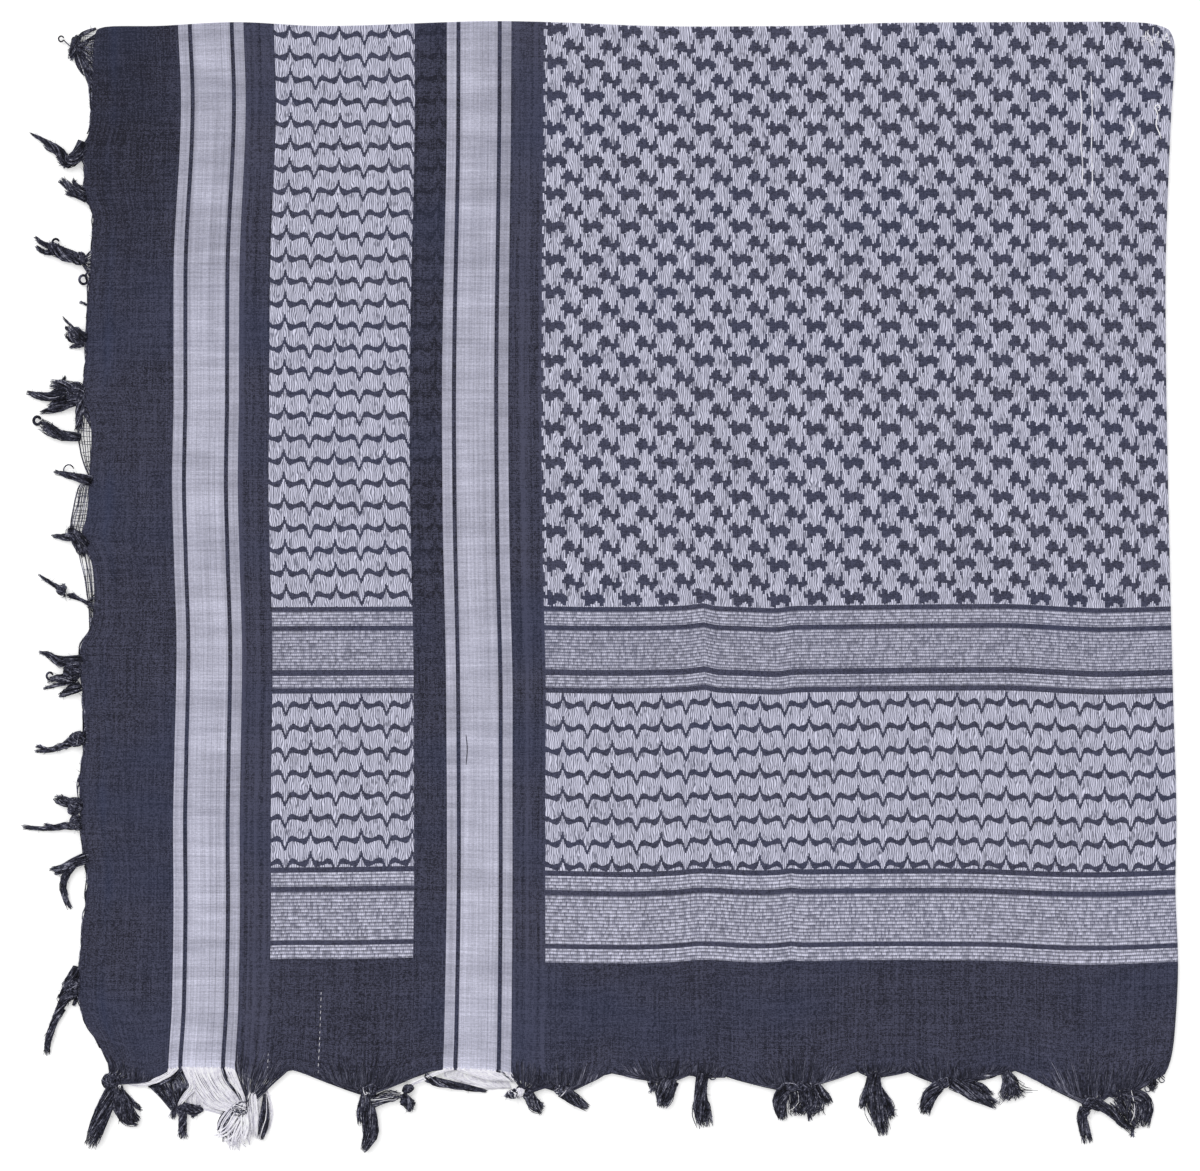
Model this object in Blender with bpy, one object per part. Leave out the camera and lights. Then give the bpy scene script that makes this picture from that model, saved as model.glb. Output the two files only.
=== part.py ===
"""Keffiyeh headscarf: a square navy and white cotton cloth, folded in quarters and laid flat.

Metres, +Z up, resting on z = 0. X runs from the open left edge to the right-hand fold, and Y from the
open bottom edge to the top fold. The quarter that shows is top_layer, whose edges roll over at the two
folds. The three quarters beneath it share hidden_layers, stepped at the open edges and rounded at the
folds. Along the open edges the thread ends are drawn together and knotted: each tassel is one node.
"""

from math import cos, exp, hypot, pi, sin
from typing import NamedTuple

import bpy
import numpy as np
from mathutils import Matrix, Vector

MM = 0.001

# The folded quarter, over the weave
QUARTER_WIDTH = 545.5 * MM
QUARTER_LENGTH = 522.5 * MM

# The layers, from the surface up
HIDDEN_HEIGHT = 3.0 * MM
SEAM_GAP = 0.3 * MM
WALL = 1.0 * MM
FACE_HEIGHT = HIDDEN_HEIGHT + SEAM_GAP + WALL

# How the cloth rolls over at its folds, measured on its face
RIGHT_FOLD_RADIUS = 2.3 * MM
TOP_FOLD_RADIUS = 1.6 * MM
FOLD_STEPS = 3

# The grid that both cloth solids are made on
COLUMNS = 24
ROWS = 28
EDGE_FADE = 30.0 * MM

# The tassels
TASSEL_SIDES = 6
FAN_GAP = 0.5 * MM
FAN_THICKNESS = 2.0 * MM
FAN_MIDDLE_HEIGHT = 1.8 * MM
TASSEL_CLEARANCE = 0.4 * MM
MOST_TASSEL_THICKNESS = 5.5 * MM

NAVY = (0.045, 0.052, 0.095, 1.0)
NAVY_AND_WHITE = (0.185, 0.190, 0.265, 1.0)
DARK_THREAD = (0.026, 0.030, 0.052, 1.0)


class EdgePoint(NamedTuple):
    """How far an edge stands out of its straight line, in millimetres, at a distance along it."""

    along: float
    out: float


LEFT_EDGE = (
    EdgePoint(along=0, out=-12.0),
    EdgePoint(along=13, out=-7.0),
    EdgePoint(along=23, out=-1.0),
    EdgePoint(along=37, out=2.0),
    EdgePoint(along=68, out=0.0),
    EdgePoint(along=94, out=-2.5),
    EdgePoint(along=120, out=1.0),
    EdgePoint(along=140, out=1.5),
    EdgePoint(along=165, out=-1.0),
    EdgePoint(along=210, out=1.5),
    EdgePoint(along=234, out=-3.5),
    EdgePoint(along=254, out=1.5),
    EdgePoint(along=267, out=6.5),
    EdgePoint(along=282, out=5.0),
    EdgePoint(along=299, out=-1.0),
    EdgePoint(along=316, out=3.0),
    EdgePoint(along=352, out=-1.5),
    EdgePoint(along=390, out=-3.0),
    EdgePoint(along=427, out=-5.5),
    EdgePoint(along=440, out=-1.0),
    EdgePoint(along=460, out=-1.0),
    EdgePoint(along=475, out=-4.5),
    EdgePoint(along=522, out=-6.5),
)
RIGHT_EDGE = (
    EdgePoint(along=0, out=-1.2),
    EdgePoint(along=17, out=1.0),
    EdgePoint(along=52, out=2.8),
    EdgePoint(along=91, out=1.5),
    EdgePoint(along=122, out=2.0),
    EdgePoint(along=188, out=0.3),
    EdgePoint(along=245, out=-1.2),
    EdgePoint(along=390, out=-3.5),
    EdgePoint(along=477, out=-0.7),
    EdgePoint(along=515, out=1.5),
)
TOP_EDGE = (
    EdgePoint(along=7, out=-0.5),
    EdgePoint(along=32, out=-1.0),
    EdgePoint(along=78, out=1.0),
    EdgePoint(along=121, out=-1.0),
    EdgePoint(along=207, out=1.5),
    EdgePoint(along=304, out=-1.2),
    EdgePoint(along=354, out=-1.0),
    EdgePoint(along=409, out=0.7),
    EdgePoint(along=528, out=1.5),
    EdgePoint(along=545, out=-1.0),
)
BOTTOM_EDGE = (
    EdgePoint(along=0, out=0.5),
    EdgePoint(along=108, out=0.0),
    EdgePoint(along=264, out=1.0),
    EdgePoint(along=316, out=1.5),
    EdgePoint(along=390, out=0.5),
    EdgePoint(along=545, out=0.0),
)


class Ridge(NamedTuple):
    """A soft crease between two points of the quarter, in millimetres from its bottom left corner."""

    start: tuple
    end: tuple
    width: float
    height: float


RIDGES = (
    Ridge(start=(310, 45), end=(312, 240), width=16, height=0.8),
    Ridge(start=(355, 50), end=(357, 150), width=14, height=0.6),
    Ridge(start=(434, 40), end=(430, 500), width=30, height=0.7),
    Ridge(start=(504, 50), end=(500, 250), width=24, height=-0.5),
    Ridge(start=(534, 20), end=(532, 210), width=12, height=0.7),
    Ridge(start=(30, 322), end=(230, 316), width=16, height=0.6),
    Ridge(start=(45, 250), end=(235, 244), width=14, height=0.5),
    Ridge(start=(40, 163), end=(240, 156), width=16, height=0.6),
    Ridge(start=(50, 102), end=(225, 96), width=14, height=0.5),
)


class SideLevel(NamedTuple):
    """One level up the side of the hidden layers: its share of the height there, and in millimetres how
    far it lies inside the edge of the layer above at the open edges and at each fold."""

    height: float
    open_inset: float
    right_inset: float
    top_inset: float


SIDE_LEVELS = (
    SideLevel(height=0.00, open_inset=0.8, right_inset=2.2, top_inset=1.6),
    SideLevel(height=0.12, open_inset=0.6, right_inset=1.0, top_inset=0.6),
    SideLevel(height=0.32, open_inset=0.6, right_inset=0.3, top_inset=0.2),
    SideLevel(height=0.34, open_inset=2.2, right_inset=0.2, top_inset=0.2),
    SideLevel(height=0.60, open_inset=2.2, right_inset=0.3, top_inset=0.9),
    SideLevel(height=0.64, open_inset=1.3, right_inset=1.3, top_inset=1.3),
)
TOP_INSET = SIDE_LEVELS[-1].open_inset * MM


class Tassel(NamedTuple):
    """A knotted bunch of thread ends, in millimetres: where its fan leaves the cloth and how wide it is
    there, then its knot and its tip, each by its place along the edge and its distance out from it."""

    along: float
    spread: float
    knot_along: float
    knot_out: float
    knot_width: float
    tail_width: float
    tip_along: float
    tip_out: float


LEFT_TASSELS = (
    Tassel(503, 26, 508, 5.5, 9.0, 8.0, 516, 12.0),
    Tassel(459, 8, 454, 5.0, 7.0, 4.0, 468, 27.0),
    Tassel(436, 12, 440, 4.0, 7.0, 6.0, 446, 12.0),
    Tassel(403, 12, 408, 6.0, 7.0, 7.0, 415, 24.5),
    Tassel(364, 10, 366, 4.0, 9.0, 3.5, 377, 11.0),
    Tassel(325, 18, 329, 8.0, 14.0, 12.0, 336, 27.5),
    Tassel(258, 6, 262, 9.5, 4.0, 2.5, 267, 16.5),
    Tassel(233, 9, 239, 11.0, 6.0, 4.0, 247, 22.5),
    Tassel(197, 14, 200, 8.0, 11.0, 12.0, 205, 21.0),
    Tassel(165, 10, 165, 4.0, 9.0, 3.5, 159, 24.5),
    Tassel(128, 14, 131, 8.0, 8.0, 3.0, 121, 31.5),
    Tassel(105, 10, 101, 5.0, 8.0, 5.0, 81, 11.0),
    Tassel(41, 12, 38, 6.5, 9.0, 5.0, 6, 18.5),
)
BOTTOM_TASSELS = (
    Tassel(16, 7, 12, 8.5, 6.5, 7.0, 3, 41.5),
    Tassel(26, 9, 20, 7.5, 6.5, 9.0, 27, 27.0),
    Tassel(50, 20, 51, 20.0, 6.0, 4.5, 49, 35.5),
    Tassel(79, 28, 79, 20.5, 11.0, 20.0, 80, 41.0),
    Tassel(144, 34, 143, 11.0, 9.0, 8.0, 143, 40.5),
    Tassel(218, 22, 220, 12.0, 7.0, 5.0, 231, 21.0),
    Tassel(243, 12, 245, 14.0, 5.0, 3.5, 254, 21.0),
    Tassel(291, 19, 292, 8.5, 7.0, 8.0, 290, 20.0),
    Tassel(311, 12, 311, 6.5, 7.0, 6.5, 310, 30.5),
    Tassel(361, 34, 360, 10.0, 16.0, 26.0, 361, 25.0),
    Tassel(396, 14, 396, 5.5, 9.0, 11.0, 397, 34.5),
    Tassel(424, 13, 426, 8.5, 7.0, 10.0, 423, 24.5),
    Tassel(440, 13, 438, 8.5, 7.0, 6.0, 459, 18.5),
    Tassel(500, 20, 505, 13.5, 8.0, 7.0, 503, 39.5),
    Tassel(521, 18, 515, 14.5, 7.0, 10.0, 529, 31.5),
)


class Section(NamedTuple):
    """One section of a tassel: how far it is down the fan or the tail, and its width and thickness as
    shares of the knot's or the tail's width."""

    part: str
    share: float
    width: float
    thickness: float


TASSEL_SECTIONS = (
    Section(part="fan", share=0.55, width=0.80, thickness=0.35),
    Section(part="fan", share=0.80, width=0.90, thickness=0.60),
    Section(part="fan", share=1.00, width=1.00, thickness=0.70),
    Section(part="tail", share=0.20, width=0.80, thickness=0.50),
    Section(part="tail", share=0.65, width=1.00, thickness=0.45),
    Section(part="tail", share=1.00, width=0.55, thickness=0.25),
)


def stands_out(edge, along):
    """How far the edge stands out there, in metres."""
    places = [point.along * MM for point in edge]
    return float(np.interp(along, places, [point.out * MM for point in edge]))


def laid(across, up):
    """Where a point of the quarter lies, once its edges wander: the wander dies away inside the edge."""
    from_left = exp(-across / EDGE_FADE)
    from_right = exp(-(QUARTER_WIDTH - across) / EDGE_FADE)
    from_bottom = exp(-up / EDGE_FADE)
    from_top = exp(-(QUARTER_LENGTH - up) / EDGE_FADE)
    x = across - from_left * stands_out(LEFT_EDGE, up) + from_right * stands_out(RIGHT_EDGE, up)
    y = up - from_bottom * stands_out(BOTTOM_EDGE, across) + from_top * stands_out(TOP_EDGE, across)
    return x, y


def relief(across, up):
    """The height of the soft creases at a point of the quarter."""
    here = Vector((across, up))
    height = 0.0
    for ridge in RIDGES:
        start = Vector(ridge.start) * MM
        run = Vector(ridge.end) * MM - start
        share = min(1.0, max(0.0, (here - start).dot(run) / run.length_squared))
        distance = (here - start - run * share).length
        height += ridge.height * MM * exp(-((distance / (ridge.width * MM)) ** 2))
    return height


def stations(length, cells, open_inset, fold_centre_radius, radius):
    """(distance, drop) from the open edge to the fold: even cells, then steps round the fold."""
    flat_end = length - fold_centre_radius
    found = [(open_inset + (flat_end - open_inset) * i / cells, 0.0) for i in range(cells + 1)]
    for step in range(1, FOLD_STEPS + 1):
        angle = pi / 2 * step / FOLD_STEPS
        found.append((flat_end + radius * sin(angle), radius * (1 - cos(angle))))
    return found


def cloth_grid(height, open_inset, depth):
    """Rows of points over the quarter, at this depth under the face of the cloth."""
    columns = stations(
        QUARTER_WIDTH, COLUMNS, open_inset, RIGHT_FOLD_RADIUS, RIGHT_FOLD_RADIUS - depth
    )
    rows = stations(QUARTER_LENGTH, ROWS, open_inset, TOP_FOLD_RADIUS, TOP_FOLD_RADIUS - depth)
    grid = []
    for up, top_drop in rows:
        row = []
        for across, right_drop in columns:
            x, y = laid(across, up)
            row.append(Vector((x, y, height + relief(across, up) - hypot(right_drop, top_drop))))
        grid.append(row)
    return grid


def grid_faces(row_count, column_count):
    """Quads over a grid whose points are numbered row by row, facing up."""
    faces = []
    for row in range(row_count - 1):
        for column in range(column_count - 1):
            corner = row * column_count + column
            faces.append((corner, corner + 1, corner + column_count + 1, corner + column_count))
    return faces


def rim_of(row_count, column_count):
    """(row, column) round the border of a grid, anticlockwise from its bottom left corner."""
    rim = [(0, column) for column in range(column_count - 1)]
    rim += [(row, column_count - 1) for row in range(row_count - 1)]
    rim += [(row_count - 1, column) for column in range(column_count - 1, 0, -1)]
    rim += [(row, 0) for row in range(row_count - 1, 0, -1)]
    return rim


def side_ring(grid, level):
    """A ring round the hidden layers at one level of their side."""
    open_inset = level.open_inset * MM - TOP_INSET
    right_inset = level.right_inset * MM - TOP_INSET
    top_inset = level.top_inset * MM - TOP_INSET
    last_row = len(grid) - 1
    last_column = len(grid[0]) - 1
    ring = []
    for row, column in rim_of(len(grid), len(grid[0])):
        point = grid[row][column].copy()
        if column == 0:
            point.x += open_inset
        if column == last_column:
            point.x -= right_inset
        if row == 0:
            point.y += open_inset
        if row == last_row:
            point.y -= top_inset
        point.z *= level.height
        ring.append(point)
    return ring


def principled(name, colour, roughness):
    material = bpy.data.materials.new(name)
    material.use_nodes = True
    shader = material.node_tree.nodes["Principled BSDF"]
    shader.inputs["Base Color"].default_value = colour
    shader.inputs["Roughness"].default_value = roughness
    shader.inputs["Metallic"].default_value = 0.0
    return material


def new_piece(name, points, faces, material):
    mesh = bpy.data.meshes.new(name)
    mesh.from_pydata(points, [], faces)
    mesh.materials.append(material)
    mesh.shade_smooth()
    mesh.set_sharp_from_angle(angle=pi / 4)
    piece = bpy.data.objects.new(name, mesh)
    bpy.context.scene.collection.objects.link(piece)
    return piece


def make_top_layer():
    """The quarter that shows: a sheet on its face, with its wall added underneath."""
    grid = cloth_grid(FACE_HEIGHT, 0.0, 0.0)
    points = [point for row in grid for point in row]
    faces = grid_faces(len(grid), len(grid[0]))
    material = principled("navy_and_white_cotton", NAVY_AND_WHITE, 0.85)
    piece = new_piece("top_layer", points, faces, material)
    wall = piece.modifiers.new("Wall", "SOLIDIFY")
    wall.thickness = WALL
    wall.offset = -1.0
    wall.use_even_offset = True
    return piece, grid


def make_hidden_layers():
    """The three quarters beneath, as one solid whose side steps in and out as their edges do."""
    grid = cloth_grid(HIDDEN_HEIGHT, TOP_INSET, WALL + SEAM_GAP)
    row_count = len(grid)
    column_count = len(grid[0])
    points = [point for row in grid for point in row]
    faces = grid_faces(row_count, column_count)
    above = [row * column_count + column for row, column in rim_of(row_count, column_count)]
    for level in reversed(SIDE_LEVELS):
        below = list(range(len(points), len(points) + len(above)))
        points += side_ring(grid, level)
        for i in range(len(above)):
            following = (i + 1) % len(above)
            faces.append((above[i], below[i], below[following], above[following]))
        above = below
    middle = len(points)
    points.append(Vector((QUARTER_WIDTH / 2, QUARTER_LENGTH / 2, 0.0)))
    for i in range(len(above)):
        faces.append((above[(i + 1) % len(above)], above[i], middle))
    return new_piece("hidden_layers", points, faces, principled("navy_cotton", NAVY, 0.85))


def tassel_rings(tassel, edge_line, place):
    """Rings of points from the fan's edge at the cloth to the tip of the tail."""
    start = Vector((tassel.along, 0.0)) * MM
    start.y = edge_line(start.x) + FAN_GAP
    knot = Vector((tassel.knot_along, tassel.knot_out)) * MM
    tip = Vector((tassel.tip_along, tassel.tip_out)) * MM
    turns = [2 * pi * side / TASSEL_SIDES for side in range(TASSEL_SIDES)]
    rings = []
    ring = []
    for turn in turns:
        along = start.x + cos(turn) * tassel.spread * MM / 2
        out = edge_line(along) + FAN_GAP
        ring.append(place(along, out, FAN_MIDDLE_HEIGHT + sin(turn) * FAN_THICKNESS / 2))
    rings.append(ring)
    for section in TASSEL_SECTIONS:
        if section.part == "fan":
            first, last, size = start, knot, tassel.knot_width * MM
        else:
            first, last, size = knot, tip, tassel.tail_width * MM
        run = (last - first).normalized()
        sideways = Vector((run.y, -run.x))
        middle = first.lerp(last, section.share)
        half_width = size * section.width / 2
        half_thickness = min(size * section.thickness, MOST_TASSEL_THICKNESS) / 2
        ring = []
        for turn in turns:
            spot = middle + sideways * (cos(turn) * half_width)
            height = TASSEL_CLEARANCE + half_thickness * (1 + sin(turn))
            ring.append(place(spot.x, spot.y, height))
        rings.append(ring)
    return rings


def make_tassel(name, tassel, edge_line, place, mirrored, material):
    """A closed loft through the tassel's rings, capped at the cloth and at the tip."""
    rings = tassel_rings(tassel, edge_line, place)
    points = [point for ring in rings for point in ring]
    faces = [tuple(range(TASSEL_SIDES))]
    for ring in range(len(rings) - 1):
        for side in range(TASSEL_SIDES):
            following = (side + 1) % TASSEL_SIDES
            here = ring * TASSEL_SIDES
            there = here + TASSEL_SIDES
            faces.append((here + following, here + side, there + side, there + following))
    last = (len(rings) - 1) * TASSEL_SIDES
    faces.append(tuple(last + side for side in reversed(range(TASSEL_SIDES))))
    if mirrored:
        faces = [tuple(reversed(face)) for face in faces]
    return new_piece(name, points, faces, material)


def left_place(along, out, height):
    return Vector((-out, along, height))


def bottom_place(along, out, height):
    return Vector((along, -out, height))


def centre_over_origin(pieces):
    """Moves every mesh so that the origin is under the middle of the whole."""
    points = np.array([vertex.co for piece in pieces for vertex in piece.data.vertices])
    middle = (points.min(axis=0) + points.max(axis=0)) / 2
    for piece in pieces:
        piece.data.transform(Matrix.Translation((-middle[0], -middle[1], 0.0)))


for old in list(bpy.data.objects):
    bpy.data.objects.remove(old, do_unlink=True)

top_layer, face_grid = make_top_layer()
made = [top_layer, make_hidden_layers()]

left_border = [row[0] for row in face_grid]
bottom_border = face_grid[0]


def left_line(along):
    """How far out the cloth's left edge is, at a height up the quarter."""
    return -float(np.interp(along, [p.y for p in left_border], [p.x for p in left_border]))


def bottom_line(along):
    """How far out the cloth's bottom edge is, at a distance across the quarter."""
    return -float(np.interp(along, [p.x for p in bottom_border], [p.y for p in bottom_border]))


thread = principled("navy_thread", DARK_THREAD, 0.9)
for number, tassel in enumerate(LEFT_TASSELS, 1):
    name = f"tassel_left_{number:02d}"
    made.append(make_tassel(name, tassel, left_line, left_place, False, thread))
for number, tassel in enumerate(BOTTOM_TASSELS, 1):
    name = f"tassel_bottom_{number:02d}"
    made.append(make_tassel(name, tassel, bottom_line, bottom_place, True, thread))

centre_over_origin(made)
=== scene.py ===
import math

import bpy
import numpy as np
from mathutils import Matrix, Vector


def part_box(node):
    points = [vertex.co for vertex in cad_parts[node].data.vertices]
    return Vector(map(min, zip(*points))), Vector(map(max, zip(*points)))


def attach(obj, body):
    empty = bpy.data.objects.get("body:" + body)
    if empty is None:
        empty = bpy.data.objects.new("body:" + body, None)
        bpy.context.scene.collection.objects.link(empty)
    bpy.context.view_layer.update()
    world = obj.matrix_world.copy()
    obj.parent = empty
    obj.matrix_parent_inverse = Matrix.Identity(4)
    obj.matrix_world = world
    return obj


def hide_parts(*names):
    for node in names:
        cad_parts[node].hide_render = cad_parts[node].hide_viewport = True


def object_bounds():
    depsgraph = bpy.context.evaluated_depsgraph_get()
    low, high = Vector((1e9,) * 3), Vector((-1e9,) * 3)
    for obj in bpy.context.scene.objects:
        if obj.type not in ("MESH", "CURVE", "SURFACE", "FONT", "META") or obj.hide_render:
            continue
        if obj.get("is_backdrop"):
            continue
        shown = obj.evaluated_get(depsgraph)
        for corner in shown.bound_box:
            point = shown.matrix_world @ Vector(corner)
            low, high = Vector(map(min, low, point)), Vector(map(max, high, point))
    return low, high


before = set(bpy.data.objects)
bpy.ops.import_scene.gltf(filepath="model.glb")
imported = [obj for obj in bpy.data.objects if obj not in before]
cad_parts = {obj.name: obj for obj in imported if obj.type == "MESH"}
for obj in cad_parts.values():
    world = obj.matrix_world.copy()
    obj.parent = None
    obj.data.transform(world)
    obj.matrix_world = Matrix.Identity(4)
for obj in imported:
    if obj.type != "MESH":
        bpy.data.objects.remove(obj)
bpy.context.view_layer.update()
bpy.ops.object.select_all(action="DESELECT")


# ---------------------------------------------------------------------------
# Studio. The headscarf lies on a faintly lit white table and is seen from straight above, under
# one broad soft lamp and white walls, so that it throws almost no shadow.

view_width = 0.600
lens_length = 85.0
sensor_width = 36.0
cloth_top = 0.004
look_at_x = 0.00075
look_at_y = 0.00080

camera_height = cloth_top + view_width * lens_length / sensor_width
bpy.ops.object.camera_add(location=(look_at_x, look_at_y, camera_height))
camera = bpy.context.object
camera.name = "overhead_camera"
camera.data.lens = lens_length
camera.data.sensor_width = sensor_width
camera.data.clip_start = 0.05
camera.data.clip_end = 20.0
bpy.context.scene.camera = camera

bpy.context.scene.view_settings.view_transform = "Standard"
world = bpy.data.worlds.new("white_room")
world.use_nodes = True
world.node_tree.nodes["Background"].inputs["Color"].default_value = (1.0, 1.0, 1.0, 1.0)
world.node_tree.nodes["Background"].inputs["Strength"].default_value = 0.70
bpy.context.scene.world = world

bpy.ops.object.light_add(
    type="SUN", location=(-0.9, 1.1, 1.5), rotation=(math.radians(-36), math.radians(-30), 0),
)
lamp = bpy.context.object
lamp.name = "soft_lamp"
lamp.data.angle = math.radians(50)
lamp.data.energy = 1.45

bpy.ops.mesh.primitive_plane_add(size=1.0, location=(0.0, 0.0, 0.0))
table_top = bpy.context.object
table_top.name = "table_top"
bpy.ops.object.mode_set(mode="EDIT")
bpy.ops.mesh.select_all(action="SELECT")
bpy.ops.transform.resize(value=(4.0, 4.0, 1.0))
bpy.ops.mesh.subdivide(number_cuts=3)
bpy.ops.object.mode_set(mode="OBJECT")
table_paint = bpy.data.materials.new("matt_white_table")
table_paint.use_nodes = True
table_shader = table_paint.node_tree.nodes["Principled BSDF"]
table_shader.inputs["Base Color"].default_value = (0.90, 0.90, 0.90, 1.0)
table_shader.inputs["Emission Color"].default_value = (1.0, 1.0, 1.0, 1.0)
table_shader.inputs["Emission Strength"].default_value = 0.30
table_shader.inputs["Roughness"].default_value = 0.9
table_shader.inputs["Specular IOR Level"].default_value = 0.1
table_top.data.materials.append(table_paint)
table_top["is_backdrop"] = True


# ---------------------------------------------------------------------------
# The face of the folded headscarf. The real one is a square of thin cotton, navy with a white
# pattern woven in, and this quarter of it lies uppermost. It is folded over at the right and at
# the top; at the left and bottom its edges are open, with their thread ends knotted.

weave_width = 545.5
weave_length = 522.5
cloth_thickness = 0.45
face_height = 3.7
right_fold = 1.7
top_fold = 0.6
right_bulge = 2.8
top_bulge = 1.5
face_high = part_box("top_layer")[1]
weave_left = face_high.x * 1000 - right_bulge - weave_width
weave_bottom = face_high.y * 1000 - top_bulge - weave_length

# Where the pattern's parts stand in the weave, in millimetres from its lower left corner.
ground_pitch = 0.46
float_pitch = 0.9288
stripe_width = 32.3
first_stripe_left = 49.5
second_stripe_left = 182.4
first_column = (97.0, 166.5)
field_left = 231.0
firm_field = 510.0
lower_border_up = (53.8, 99.4)
upper_border_up = (187.7, 231.0)

# How far each line of the cloth strays from straight: (place along the line, distance) pairs.
left_edge = [
    (0, -12), (13, -7), (23, -1), (37, 2), (68, 0), (94, -2.5), (120, 1), (140, 1.5), (165, -1), (210, 1),
    (222, -4.5), (236, -6), (252, -5), (261, -2), (267, 0.5), (276, -2), (290, -3.2), (300, -3.6),
    (316, -4.6), (328, -3.5), (337, 0.5), (352, -1.5), (390, -3), (427, -5.5), (440, -1), (460, -1),
    (475, -4.8), (522, -5),
]
right_edge = [
    (0, -1.2), (17, 1), (52, 2.8), (91, 1.5), (122, 2), (188, 0.3), (245, -1.2), (390, -3.5), (477, -0.7),
    (515, 1.5), (523, 1),
]
top_edge = [
    (0, -0.5), (32, -1), (78, 1), (121, -1), (207, 1.5), (304, -1.2), (354, -1), (409, 0.7), (470, 1.0),
    (515, 1.2), (530, 0.9), (545, -0.6),
]
bottom_edge = [
    (0, -3.5), (9, 0), (18, 4.6), (25, 6.0), (32, 6.3), (38, 5.4), (44, 3.6), (50, 0.8), (56, 0),
    (80, 0.5), (88, 4.5), (93, 6), (98, 4.5), (104, 1.5), (108, 0.5), (115, 2.5), (124, 5.5), (134, 8),
    (143, 9), (152, 8.5), (160, 7), (168, 4), (176, 1.5), (184, 0.6), (207, 1.5), (215, 4.5), (226, 7.5),
    (250, 7.5), (258, 5), (264, 1.5), (276, 2.5), (288, 3.6), (298, 3.4), (310, 2.2), (318, 3),
    (327, 5.5), (340, 7), (370, 6.5), (380, 3), (390, 1.2), (412, 1.2), (423, 4), (433, 5.8), (445, 4),
    (458, 1), (466, 0.5), (475, 5), (485, 9), (497, 13), (508, 13.5), (520, 10), (532, 6.5), (540, 5),
    (545, 4),
]
first_stripe = [
    (4, -6.5), (34, -4.5), (84, -3.75), (119, -4), (159, -3.25), (209, -2.25), (254, -3.5), (294, -4.5),
    (334, -3.75), (394, -3.75), (484, 0), (521, -1.5),
]
second_stripe = [
    (4, -1.9), (15, -1.4), (109, 0.1), (194, -0.4), (234, -1.15), (284, -2.15), (334, -2.4), (484, 0),
    (520, 0),
]
field_edge = [(0, 0.6), (54, 0.75), (134, 0.75), (184, 1), (254, -0.5), (334, -1.25), (522, 0)]
lower_border_rise = [
    (97, 1.4), (130, 1.7), (166, 2.2), (190, 1), (231, 0), (254, -0.5), (272, -0.8), (296, 0), (309, 1.1),
    (319, 0.8), (329, 0.2), (339, 0), (349, 0.4), (354.5, 1.2), (359, 0.6), (389, 0.8), (432, 1),
    (505, -0.9), (545, 0.2),
]
upper_border_rise = [
    (97, 0), (231, 0.5), (254, 0.1), (272, 0.1), (290, 0.4), (301, 0.8), (307, 1.5), (311, 2.0),
    (314, 1.2), (318, 0.5), (332, 0), (347, -0.5), (356, 0.6), (380, 0.9), (432, 1.5), (459, 1.6),
    (496, 0), (509, -0.5), (545, 0.4),
]

# A crease or swell: its start and end (across, up), its width and its height.
creases = [
    (310, 45, 312, 240, 16, 0.8), (355, 50, 357, 150, 14, 0.6), (434, 40, 430, 500, 30, 0.7),
    (504, 50, 500, 250, 24, -0.5), (534, 20, 532, 210, 12, 0.7), (30, 322, 230, 316, 16, 0.6),
    (45, 250, 235, 244, 14, 0.5), (40, 163, 240, 156, 16, 0.6), (50, 102, 225, 96, 14, 0.5),
]


def eased(pairs, where):
    """A smooth line through (place, value) pairs."""
    places, values = np.array(pairs, float).T
    grades = np.diff(values) / np.diff(places)
    steeper = np.where(grades[1:] * grades[:-1] > 0, 2 * grades[1:] * grades[:-1], 0)
    slopes = np.concatenate(
        [grades[:1], steeper / np.where(steeper == 0, 1, grades[1:] + grades[:-1]), grades[-1:]]
    )
    where = np.clip(np.asarray(where, float), places[0], places[-1])
    first = np.clip(np.searchsorted(places, where) - 1, 0, len(places) - 2)
    gap = places[first + 1] - places[first]
    share = (where - places[first]) / gap
    start_pull = share * (1 - share) ** 2
    end_pull = share ** 2 * (share - 1)
    blend = share ** 2 * (3 - 2 * share)
    straight = values[first] * (1 - blend) + values[first + 1] * blend
    return straight + gap * (slopes[first] * start_pull + slopes[first + 1] * end_pull)


def soft_step(low, high, where):
    """0 before low and 1 past high, with a smooth rise between."""
    share = np.clip((where - low) / (high - low), 0, 1)
    return share * share * (3 - 2 * share)


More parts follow.
